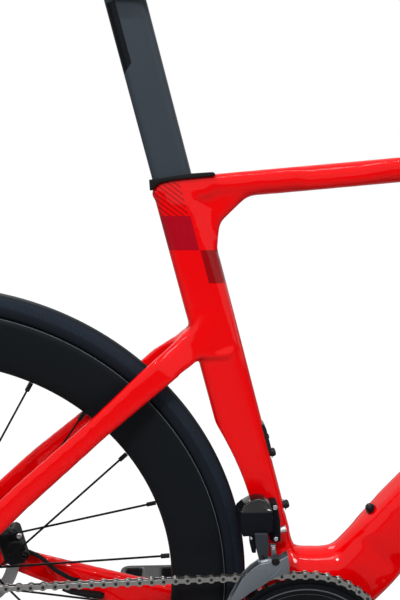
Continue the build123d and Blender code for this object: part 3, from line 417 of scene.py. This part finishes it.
cover_rubber = finish("cover_rubber", (0.009, 0.009, 0.010), 0.62, 0.0006, 0.00003, 0.2)
outline = [(-165.1, 518.4), (-164.4, 507.4), (-162.3, 507.6), (-155, 514.9), (-138.7, 518.1), (-97.9, 522.2),
           (-97.4, 524.4), (-100, 526.2), (-121.3, 524.8)]
cover = piece("clamp_cover", cut_plate(outline, -17.5, 17.5, 0.7), "frame", cover_rubber)
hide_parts("seatpost_clamp_cover")


# Saddle
# Synthetic cover drawn over foam on a stiff shell, with a pressure channel down the middle.

saddle_cover = finish("saddle_cover", (0.018, 0.018, 0.020), 0.55, 0.0011, 0.00008, 0.2, Sheen_Weight=0.15)
bm = merged("saddle")
low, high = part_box("saddle")
middle = (low + high) / 2
bmesh.ops.scale(bm, verts=bm.verts, vec=(0.965, 0.93, 0.80), space=Matrix.Translation(-middle))
bm = melted(bm, 0.005, 2)
start = [v.co.copy() for v in bm.verts]
mesh = bpy.data.meshes.new("pad")
bm.to_mesh(mesh)
bm.free()
pad = bpy.data.objects.new("pad", mesh)
scene.collection.objects.link(pad)
cloth = pad.modifiers.new("cloth", "CLOTH")
cloth.settings.use_pressure = True
cloth.settings.uniform_pressure_force = 4
cloth.settings.effector_weights.gravity = 0
for number in range(1, 21):
    scene.frame_set(number)
blown = bpy.data.meshes.new_from_object(pad.evaluated_get(bpy.context.evaluated_depsgraph_get()))
bm = bmesh.new()
bm.from_mesh(blown)
bpy.data.objects.remove(pad)
scene.frame_set(1)
swell, margin, top_margin = 0.006, 0.0005, 0.0002
for vert, before in zip(bm.verts, start):
    move = vert.co - before
    if move.length > swell:
        vert.co = before + move * (swell / move.length)
bmesh.ops.smooth_vert(bm, verts=bm.verts, **evenly)
bmesh.ops.subdivide_edges(bm, edges=bm.edges, cuts=1, use_grid_fill=True, smooth=0.6)
channel_depth, channel_half, channel_reach, channel_middle = 0.0045, 0.008, 0.105, -0.01
for vert in bm.verts:
    x, y, z = vert.co
    length_share = max(0.0, 1 - ((x - channel_middle) / channel_reach) ** 2)
    if z > middle.z:
        vert.co.z -= channel_depth * length_share * math.exp(-(y / channel_half) ** 2)
    vert.co.x = min(max(x, low.x + margin), high.x - margin)
    vert.co.y = min(max(y, low.y + margin), high.y - margin)
    vert.co.z = min(max(vert.co.z, low.z + margin), high.z - top_margin)
saddle = piece("saddle_pad", bm, "frame", saddle_cover)
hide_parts("saddle")


# Saddle rails and clamp
# Two bent alloy rods under the saddle, held between a cradle and caps on the post's head.

rail_steel = finish("rail_steel", (0.30, 0.31, 0.33), 0.30, 0.0008, 0.00001, 0.1, Metallic=1.0)
black_alloy = finish("black_alloy", (0.010, 0.010, 0.0115), 0.38, 0.0007, 0.00002, 0.2, Coat_Weight=0.6,
                     Coat_Roughness=0.22)
dress(rail_steel, "saddle_rails")
moulded("rail_clamp", ("saddle_clamp",), 0.0012, 4, "frame", black_alloy)


# Wheels
# Deep carbon rims with a rounded nose, sanded matte, with a thin paler wire at each bead edge as a painted highlight,
# and folding road tyres of 28 mm.
# The tyre's crown is smooth and its shoulders carry a fine moulded pattern.

rim_carbon = finish("rim_carbon", (0.0062, 0.0078, 0.0098), 0.40, 0.0022, 0.00001, 0.25)
# Pale finish of the thin wire round each rim's bead edge: a painted highlight of the rim's lip.
rim_highlight_wire = finish("rim_highlight_wire", (0.10, 0.11, 0.12), 0.35, 0.0022, 0.0, 0.2)
axles = {"rear": spot(-398.905, 0, 70), "front": (sum(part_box("front_tyre"), Vector()) / 2)}
tyre_radius, tyre_half, bead_radius, nose_radius = 0.338, 0.014, 0.3143, 0.2536


def from_axle(tree, axle):
    """Distances of a surface point ahead of, above and away from an axle."""
    x, z = along(tree, axle, (1, 0, 0)), along(tree, axle, (0, 0, 1))
    return x, z, calc(tree, "SQRT", calc(tree, "ADD", calc(tree, "MULTIPLY", x, x), calc(tree, "MULTIPLY", z, z)))


def tyre_rubber(name, axle):
    """Black tread rubber with a shoulder pattern that runs round the axle."""
    material = finish(name, (0.0085, 0.0115, 0.0165), 0.55, 0.0015, 0.00003, 0.2)
    tree = material.node_tree
    x, z, reach = from_axle(tree, axle)
    across = calc(tree, "ABSOLUTE", along(tree, axle, (0, 1, 0)))
    turns = calc(tree, "MULTIPLY", calc(tree, "ARCTAN2", z, x), 560)
    rings = calc(tree, "MULTIPLY", reach, 1900)
    first = calc(tree, "SINE", calc(tree, "ADD", turns, rings))
    second = calc(tree, "SINE", calc(tree, "SUBTRACT", turns, rings))
    zone = calc(tree, "MULTIPLY", between(tree, reach, 0.3262, 0.3356), calc(tree, "GREATER_THAN", across, 0.006))
    pattern = calc(tree, "MULTIPLY", calc(tree, "MULTIPLY", first, second), zone)
    overlay(material, zone, (0.013, 0.019, 0.029))
    tread = tree.nodes.new("ShaderNodeBump")
    tread.inputs["Distance"].default_value = 0.0003
    tree.links.new(pattern, tread.inputs["Height"])
    tree.links.new(tree.nodes["relief"].outputs[0], tread.inputs["Normal"])
    tree.links.new(tread.outputs[0], tree.nodes["Principled BSDF"].inputs["Normal"])
    return material


def spun(name, axle, outline, body, material, steps=256):
    """Ring turned about an axle from a closed outline of (distance across, radius)."""
    bm = bmesh.new()
    corners = [bm.verts.new((axle.x + radius, axle.y + across, axle.z)) for across, radius in outline]
    edges = [bm.edges.new((a, b)) for a, b in zip(corners, corners[1:] + corners[:1])]
    bmesh.ops.spin(bm, geom=corners + edges, cent=axle, axis=(0, 1, 0), angle=2 * math.pi, steps=steps,
                   use_merge=True)
    bmesh.ops.remove_doubles(bm, verts=bm.verts, dist=1e-6)
    bmesh.ops.recalc_face_normals(bm, faces=bm.faces)
    return piece(name, bm, body, material)


tyre_outline = []
for k in range(31):
    swing = math.radians(-46 + k * 272 / 30)
    tyre_outline.append((tyre_half * math.cos(swing), tyre_radius - tyre_half + tyre_half * math.sin(swing)))
tyre_outline += [(side * 0.0095, bead_radius + 0.0003) for side in (-1, 1)]
rim_side = []
for k in range(15):
    share = (k / 14) ** 1.6
    half = 0.0138 * (1 - (1 - share) ** 2.6) ** (1 / 2.2)
    rim_side.append((half - 0.0006 * share ** 6, nose_radius + share * (bead_radius - nose_radius - 0.0006)))
rim_lip = [(0.0127, bead_radius - 0.0002), (0.0112, bead_radius), (0.0104, bead_radius - 0.0008)]
right_side = rim_side[1:] + rim_lip
rim_outline = [rim_side[0]] + right_side + [(-across, radius) for across, radius in reversed(right_side)]
edge_half, edge_radius, edge_wire = 0.0132, 0.3135, 0.0004
for end, axle in axles.items():
    body = end + "_wheel"
    tyre = spun(end + "_tread_tyre", axle, tyre_outline, body, tyre_rubber(end + "_tyre_rubber", axle))
    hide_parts(end + "_tyre")
    rim = spun(end + "_deep_rim", axle, rim_outline, body, rim_carbon)
    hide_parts(end + "_rim")
    # Each thin pale wire at a bead edge is a painted highlight, not part of the rim's own colour.
    for side, across in (("right", -edge_half), ("left", edge_half)):
        bead = [(across + edge_wire * math.cos(k * math.pi / 3), edge_radius + edge_wire * math.sin(k * math.pi / 3))
                for k in range(6)]
        spun(f"{end}_rim_highlight_wire_{side}", axle, bead, body, rim_highlight_wire)


# Spokes, hubs and brake discs
# Bladed black steel spokes pull on turned alloy hubs; the discs are stamped stainless steel.

spoke_black = finish("spoke_black", (0.008, 0.008, 0.009), 0.36, 0.0008, 0.00001, 0.2)
disc_steel = finish("disc_steel", (0.42, 0.42, 0.43), 0.34, 0.0009, 0.00001, 0.15, Metallic=1.0)
sprocket_steel = finish("sprocket_steel", (0.36, 0.36, 0.37), 0.34, 0.0010, 0.00001, 0.2, Metallic=1.0)
dress(spoke_black, "front_spokes", "rear_spokes")
dress(black_alloy, "front_hub", "rear_hub", "dropouts", "derailleur_hanger", "headset_spacers", "freehub",
      "bottle_bosses", "chainring_bolts")
dress(disc_steel, "front_rotor", "rear_rotor")
dress(sprocket_steel, "cassette", "headset_bearings", "crank_bearings", "pedal_axles", "crank_spindle", "rear_axle",
      "front_axle", "steerer")


# Screws
# Black socket screws close the bottle cage holes, and smaller silver ones hold the derailleur and caliper.

silver_steel = finish("silver_steel", (0.55, 0.55, 0.56), 0.24, 0.0006, 0.000005, 0.1, Metallic=1.0)
black_steel = finish("black_steel", (0.007, 0.007, 0.008), 0.30, 0.0006, 0.000008, 0.2, Coat_Weight=0.8,
                     Coat_Roughness=0.12)


def screw(name, place, heading, radius, length, body, material, crown=0.22, sides=20):
    """Socket screw whose head stands on a place and points along a heading, with its crown rounded by a share."""
    bm = bmesh.new()
    bmesh.ops.create_cone(bm, cap_ends=True, segments=sides, radius1=radius, radius2=radius, depth=length,
                          matrix=Matrix.Translation((0, 0, length / 2)))
    def rise(face):
        return face.calc_center_median().z

    top = max(bm.faces, key=rise)
    bmesh.ops.bevel(bm, geom=list(top.edges), offset=crown * radius, offset_type="OFFSET", segments=4, profile=0.5,
                    affect="EDGES", material=-1)
    top = max(bm.faces, key=rise)
    bmesh.ops.inset_region(bm, faces=[top], thickness=0.12 * radius)
    top = max((face for face in bm.faces if len(face.verts) == sides), key=rise)
    sunk = bmesh.ops.extrude_discrete_faces(bm, faces=[top])["faces"]
    bmesh.ops.translate(bm, verts=sunk[0].verts, vec=(0, 0, -0.5 * length))
    turn = Vector(heading).to_track_quat("Z", "Y").to_matrix().to_4x4()
    bmesh.ops.transform(bm, verts=bm.verts, matrix=Matrix.Translation(place) @ turn)
    bmesh.ops.recalc_face_normals(bm, faces=bm.faces)
    for edge in bm.edges:
        edge.smooth = edge.calc_face_angle(0) < 0.6
    return piece(name, bm, body, material)


for name, x, z, lean in (("seat_lower", -17.9, 156.3, 14.7), ("seat_upper", -34.2, 218.2, 14.7),
                         ("down_lower", 82.0, 149.6, 137.48), ("down_upper", 125.6, 196.4, 137.48)):
    heading = Vector((math.cos(math.radians(lean)), 0, math.sin(math.radians(lean))))
    screw(name + "_screw", spot(x, 0, z) + heading * 0.0012, heading, 0.0049, 0.0050, "frame", black_steel,
          0.6)


# Cable port
# Gloss black moulded plug in the seat tube's front, above the upper bottle screw, where the wires go in.

gloss_black = finish("gloss_black", (0.004, 0.004, 0.005), 0.16, 0.0020, 0.0, 0.15, Coat_Weight=1.0,
                     Coat_Roughness=0.05, Coat_IOR=1.35)
port_outline = [on_tube(*place) for place in ((221, 24), (221.5, 28.4), (228, 29.4), (249, 29.4), (255, 28.2),
                                              (256, 24))]
piece("wire_port", cut_plate(port_outline, -8, 8, 1.0, 3), "frame", gloss_black)
x, z = on_tube(238, 29.3)
screw("port_screw", spot(x, 0, z), over_tube, 0.0026, 0.0012, "frame", black_steel)


# Chain
# Nickel plated roller chain: waisted plates in pairs, pressed on dark pins over rollers.
# It lies on the big ring, the second smallest sprocket and both pulleys, where its links are in the solids.

chain_nickel = finish("chain_nickel", (0.33, 0.33, 0.32), 0.33, 0.0012, 0.00001, 0.25, Metallic=1.0)
pin_dark = finish("pin_dark", (0.05, 0.05, 0.05), 0.35, 0.0006, 0.000005, 0.2, Metallic=1.0)
half_pitch = 0.00635


def islands(bm):
    """Separate groups of joined vertices."""
    left = set(bm.verts)
    while left:
        group, edge = set(), [left.pop()]
        while edge:
            vert = edge.pop()
            group.add(vert)
            for link in vert.link_edges:
                other = link.other_vert(vert)
                if other in left:
                    left.remove(other)
                    edge.append(other)
        yield group


bm = merged("chain")
groups = [numpy.array([v.co[:] for v in group]) for group in islands(bm)]
bm.free()
inner_links = []
most_pin_corners = 12
for points in groups:
    if len(points) <= most_pin_corners:
        continue
    centre = points.mean(axis=0)
    trend = numpy.linalg.eigh(numpy.cov((points - centre).T))[1][:, 2]
    inner_links.append([Vector(centre + side * half_pitch * trend) for side in (-1, 1)])
free_pins = [(k, pin) for k, pair in enumerate(inner_links) for pin in pair]
outer_links = []
while free_pins:
    owner, pin = free_pins.pop()
    near = min((other for other in free_pins if other[0] != owner), key=lambda other: (other[1] - pin).length)
    free_pins.remove(near)
    outer_links.append([pin, near[1]])


def link_plate(bm, across, thickness, radius):
    """Waisted plate of two rounded ends and a web, at a distance across the chain."""
    for end in (-half_pitch, half_pitch):
        lift = Matrix.Translation((end, across, 0)) @ Matrix.Rotation(math.pi / 2, 4, "X")
        bmesh.ops.create_cone(bm, cap_ends=True, segments=14, radius1=radius, radius2=radius, depth=thickness,
                              matrix=lift)
    web = Matrix.Translation((0, across, 0)) @ Matrix.Diagonal((2 * half_pitch, thickness * 0.96, 1.25 * radius, 1))
    bmesh.ops.create_cube(bm, size=1, matrix=web)


def link_cylinder(bm, radius, width):
    """Pin or roller across both ends of a link."""
    for end in (-half_pitch, half_pitch):
        lift = Matrix.Translation((end, 0, 0)) @ Matrix.Rotation(math.pi / 2, 4, "X")
        bmesh.ops.create_cone(bm, cap_ends=True, segments=12, radius1=radius, radius2=radius, depth=width,
                              matrix=lift)


def chain_run(name, links, parts, material):
    """Copies of one link's parts, one on each pair of pins."""
    run = bmesh.new()
    for first, second in links:
        one = bmesh.new()
        for make, *sizes in parts:
            make(one, *sizes)
        x_way = (second - first).normalized()
        z_way = x_way.cross(Vector((0, 1, 0))).normalized()
        y_way = z_way.cross(x_way)
        turn = Matrix((x_way, y_way, z_way)).transposed().to_4x4()
        bmesh.ops.transform(one, verts=one.verts, matrix=Matrix.Translation((first + second) / 2) @ turn)
        mesh = bpy.data.meshes.new("link")
        one.to_mesh(mesh)
        one.free()
        run.from_mesh(mesh)
        bpy.data.meshes.remove(mesh)
    return piece(name, run, "frame", material, smooth=False)


outer_plates = chain_run("chain_outer_plates", outer_links, [
    (link_plate, 0.00225, 0.00055, 0.00415), (link_plate, -0.00225, 0.00055, 0.00415)], chain_nickel)
chain_run("chain_inner_plates", inner_links, [
    (link_plate, 0.00137, 0.00055, 0.0041), (link_plate, -0.00137, 0.00055, 0.0041),
    (link_cylinder, 0.00275, 0.0021)], chain_nickel)
chain_run("chain_pins", outer_links, [(link_cylinder, 0.0018, 0.0058)], pin_dark)
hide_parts("chain")


# Chainrings and cranks
# Milled black rings with fine turning marks and two pale bands painted round them as highlights, bolted to a forged
# spider and a hollow forged arm.

ring_black = finish("ring_black", (0.004, 0.0045, 0.006), 0.20, 0.0010, 0.0, 0.15, Coat_Weight=0.2,
                    Coat_Roughness=0.06)
tree = ring_black.node_tree
reach = from_axle(tree, bracket)[2]
groove = calc(tree, "SINE", calc(tree, "MULTIPLY", reach, 2 * math.pi / 0.0016))
marks = tree.nodes.new("ShaderNodeBump")
marks.inputs["Distance"].default_value = 0.00006
tree.links.new(groove, marks.inputs["Height"])
tree.links.new(marks.outputs[0], tree.nodes["Principled BSDF"].inputs["Normal"])
# Two thin pale bands round the bracket's axis are painted highlights on the rings' gloss face.
overlay(ring_black, between(tree, reach, 0.0812, 0.0826), (0.09, 0.10, 0.115))
overlay(ring_black, between(tree, reach, 0.0762, 0.0769), (0.05, 0.055, 0.065))
dress(ring_black, "outer_chainring", "inner_chainring")
arm_black = finish("arm_black", (0.006, 0.006, 0.007), 0.30, 0.0012, 0.00001, 0.2, Coat_Weight=0.8,
                   Coat_Roughness=0.15)
moulded("drive_arm", ("right_crank",), 0.0016, 5, "crank", arm_black)
moulded("plain_arm", ("left_crank",), 0.0016, 5, "crank", arm_black)
bolt_circle, bolt_face = 55, -57.5
for k in range(4):
    angle = math.radians(45 + 90 * k)
    place = spot(bolt_circle * math.cos(angle), bolt_face, bolt_circle * math.sin(angle))
    screw(f"ring_bolt_{k}", place, (0, -1, 0), 0.0052, 0.0025, "crank", silver_steel)


# Pedals
# Cast alloy platforms, black anodised, that turn on steel axles screwed into the arms.

moulded("drive_side_pedal", ("right_pedal",), 0.0016, 3, "right_pedal", black_alloy)
moulded("far_side_pedal", ("left_pedal",), 0.0016, 3, "left_pedal", black_alloy)


# Front derailleur
# Motor in a black moulded housing beside the seat tube, whose forged links push a stamped silver cage.

satin_black = finish("satin_black", (0.005, 0.006, 0.009), 0.42, 0.0005, 0.00002, 0.15)
link_grey = finish("link_grey", (0.018, 0.022, 0.029), 0.36, 0.0007, 0.00001, 0.15, Specular_IOR_Level=0.3)
cage_silver = finish("cage_silver", (0.19, 0.215, 0.24), 0.34, 0.0012, 0.00001, 0.12, Metallic=0.85)

lid, corner, slope = spot(0, 0, 170.5), spot(-68, 0, 0), 0.6
bm = cut_plate([(-75.4, 169), (-75.4, 160), (-72.3, 148), (-69.5, 143.5), (-54, 144.5), (-41.5, 145.5),
                (-37.4, 150.5), (-37.4, 171.5), (-39.3, 177.6), (-44.2, 181.9), (-52.8, 183.4), (-61.2, 181.2),
                (-68.6, 177), (-74, 172.2)], -49, -27.5, 0)
bmesh.ops.bisect_plane(bm, geom=bm.verts[:] + bm.edges[:] + bm.faces[:], dist=1e-6, plane_co=lid,
                       plane_no=(0, 0, 1))
for vert in bm.verts:
    if vert.co.y < -0.048:
        vert.co.x += slope * max(0, corner.x - vert.co.x)
        vert.co.y += slope * max(0, vert.co.z - lid.z)
bmesh.ops.bevel(bm, geom=list(bm.edges), offset=0.0014, offset_type="OFFSET", segments=3, profile=0.5, affect="EDGES",
                material=-1)
motor = piece("derailleur_motor", bm, "frame", satin_black)
motor.data.materials.append(gloss_black)
for face in motor.data.polygons:
    if face.center.z > lid.z:
        face.material_index = 1
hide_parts("front_derailleur")
for name, outline, right, left, material in (
        ("derailleur_bracket", [(-38, 172.5), (-30, 172.5), (-26.2, 152), (-25.2, 128.5), (-31.5, 126), (-37, 130)],
         -31, -15.3, satin_black),
        ("derailleur_link_outer", [(-56.4, 148.6), (-42.6, 148.4), (-40.7, 134.6), (-41.6, 119.7), (-51.2, 117.6),
                                   (-54.6, 131.4)], -52, -46, link_grey),
        ("derailleur_link_inner", [(-61.3, 146), (-53.8, 146), (-53.6, 122), (-58, 122), (-60.7, 132.9)], -44, -36,
         satin_black),
        ("derailleur_stop", [(-39, 134), (-33.5, 133.5), (-32, 119), (-37, 119)], -50, -44, cage_silver)):
    piece(name, cut_plate(outline, right, left, 1.0, 3), "frame", material)
low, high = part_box("front_derailleur_cage")
guide_outline = [(-85, 66), (-80, 77), (-69.7, 97.7), (-60, 108), (-51.7, 114.2), (-37.3, 117.5), (-28.7, 119),
                 (-20.2, 124), (-18.2, 104.2), (-34.8, 98.7), (-43.3, 92.5), (-60, 82), (-73.5, 71.5), (-77, 66.5)]
bridge = [(-52, 113.5), (-37.3, 117.5), (-28.7, 119), (-20.2, 124), (-20.6, 120.5), (-36, 114), (-50, 110.5)]
rib = [(-44, 96.5), (-34, 104), (-30, 109.5), (-28.8, 108.7), (-32.5, 102.6), (-43, 95)]
right, left = low.y * 1000, high.y * 1000
for name, outline, across, beside in (("chain_guide", guide_outline, right, right + 1.4),
                                      ("chain_guide_inner", guide_outline, left - 1.4, left),
                                      ("chain_guide_bridge", bridge, right + 0.5, left - 0.5),
                                      ("chain_guide_rib", rib, right - 0.7, right + 0.5)):
    made = piece(name, cut_plate(outline, across, beside, 0.35), "frame", cage_silver)
    if name == "chain_guide":
        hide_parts("front_derailleur_cage")
for name, x, y, z, radius, length, material in (
        ("motor_screw_low", -59.5, -46, 141, 1.7, 1.2, silver_steel),
        ("pivot_low", -46.5, -52, 121.5, 2.6, 1.0, black_steel),
        ("guide_pivot", -33.8, right, 117.5, 4.6, 1.3, black_steel),
        ("limit_screw", -36, -50, 130.5, 1.8, 1.0, silver_steel),
        ("bracket_screw_top", -32.3, -31, 168, 2.9, 1.2, silver_steel),
        ("bracket_screw_low", -30.8, -31, 131.5, 2.6, 1.2, silver_steel)):
    screw(name, spot(x, y, z), (0, -1, 0), radius / 1000, length / 1000, "frame", material)
screw("bracket_washer", spot(-26.5, -24, 138.5), over_tube, 0.0050, 0.0022, "frame", silver_steel)
screw("bracket_bolt", spot(-24.4, -24, 138), over_tube, 0.0040, 0.0062, "frame", silver_steel)


# Rear derailleur
# Forged black links hang the cage from the frame's tab; moulded pulleys turn on bushes in it.

moulded("rear_links", ("rear_derailleur",), 0.0012, 6, "frame", black_alloy)
moulded("pulley_cage", ("derailleur_cage",), 0.0009, 2, "frame", black_alloy)
dress(gloss_black, "derailleur_pulleys")


# Brakes
# Hydraulic calipers, forged and black anodised, bolted to the left chainstay and fork blade.
# The rear hose runs over a rubber guide into the chainstay.

caliper_black = finish("caliper_black", (0.0045, 0.005, 0.006), 0.45, 0.0009, 0.00003, 0.25, Specular_IOR_Level=0.1)
moulded("rear_caliper_body", ("rear_caliper",), 0.0009, 8, "frame", caliper_black)
low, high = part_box("rear_caliper")
side = low.y * 1000
for name, x, z, radius, length, material in (
        ("piston_cap", -330, 86, 11, 1.6, caliper_black), ("caliper_bolt_high", -325.5, 104, 3.2, 3.2, silver_steel),
        ("caliper_bolt_low", -340, 66, 3.2, 3.2, silver_steel), ("hose_banjo", -319.5, 80, 5.6, 4.5, caliper_black),
        ("banjo_bolt", -319.5, 80, 3.0, 6.2, black_steel), ("bleed_cap", -335, 108, 2.8, 4.0, caliper_black)):
    screw(name, spot(x, side, z), (0, -1, 0), radius / 1000, length / 1000, "frame", material)
moulded("front_caliper_body", ("front_caliper",), 0.0009, 8, "steering", caliper_black)
dress(cover_rubber, "rear_brake_hose")
guide = cut_plate([(-278, 32.6), (-258.5, 30.2), (-231, 26.2), (-226.5, 23.4), (-230, 20.8), (-247, 22.8),
                   (-267, 27.6)], 36, 45, 1.3, 3)
piece("hose_guide", guide, "frame", cover_rubber)


# Stem and handlebar
# Black alloy stem on spacers under a cap and its bolt, and a carbon bar clamped in its front.

moulded("stem_body", ("stem",), 0.0012, 4, "steering", black_alloy)
low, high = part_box("steerer")
steer_lean, steerer_radius = math.radians(107), 0.0143
top = Vector((low.x + steerer_radius * math.sin(steer_lean), 0, high.z + steerer_radius * math.cos(steer_lean)))
up_steerer = Vector((math.cos(steer_lean), 0, math.sin(steer_lean)))
screw("stem_cap", top, up_steerer, 0.0160, 0.0030, "steering", black_alloy, 0.12, 40)
screw("cap_bolt", top + up_steerer * 0.0012, up_steerer, 0.0048, 0.0026, "steering", silver_steel)
bar_carbon = finish("bar_carbon", (0.009, 0.009, 0.010), 0.40, 0.0014, 0.00001, 0.25)
moulded("bar_middle", ("handlebar",), 0.0013, 3, "steering", bar_carbon)


# Bar tape
# Cushioned tape wound in overlapping turns from the drop's end up to the tops, with painted shade along each lap's
# edge.

tape_cork = finish("tape_cork", (0.010, 0.010, 0.011), 0.66, 0.0008, 0.00006, 0.25)
bm = melted(merged("bar_tape"), 0.0016, 6)
wound = bm.verts.layers.float.new("wound")
# Middle line of the left half, from the tops round the hook to the drop's end
route = [Vector(point) for point in ((0.6815, 0.152, -0.1151), (0.6815, 0.196, -0.1151), (0.700, 0.210, -0.1165),
                                     (0.737, 0.210, -0.1195), (0.760, 0.210, -0.142), (0.7545, 0.210, -0.215),
                                     (0.730, 0.210, -0.2405), (0.6515, 0.210, -0.2461))]
starts = [0.0]
for a, b in zip(route, route[1:]):
    starts.append(starts[-1] + (b - a).length)
for vert in bm.verts:
    point = Vector((vert.co.x, abs(vert.co.y), vert.co.z))
    best = None
    for k, (a, b) in enumerate(zip(route, route[1:])):
        way = (b - a).normalized()
        reach = min(max((point - a).dot(way), 0), (b - a).length)
        gap = (point - a - way * reach).length
        if best is None or gap < best[0]:
            best = (gap, starts[k] + reach)
    vert[wound] = best[1]
tape = piece("wound_tape", bm, "steering", tape_cork)
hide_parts("bar_tape")
tree = tape_cork.node_tree
run = tree.nodes.new("ShaderNodeAttribute")
run.attribute_name = "wound"
lap_pitch = 0.019
step = calc(tree, "FRACT", calc(tree, "DIVIDE", run.outputs["Fac"], lap_pitch))
# Near-black line at each lap's edge: painted shade in the step where one turn lies over the next.
overlay(tape_cork, calc(tree, "GREATER_THAN", step, 0.92), (0.0015, 0.0015, 0.0015))
lap = tree.nodes.new("ShaderNodeBump")
lap.inputs["Distance"].default_value = 0.0014
tree.links.new(step, lap.inputs["Height"])
tree.links.new(tree.nodes["relief"].outputs[0], lap.inputs["Normal"])
tree.links.new(lap.outputs[0], tree.nodes["Principled BSDF"].inputs["Normal"])


# Brake and shift levers
# Rubber hoods stretched over the lever bodies, and curved alloy blades.

moulded("hood_rubber", ("brake_hoods",), 0.0014, 20, "steering", cover_rubber)
moulded("lever_blades", ("brake_levers",), 0.0009, 8, "steering", black_alloy)
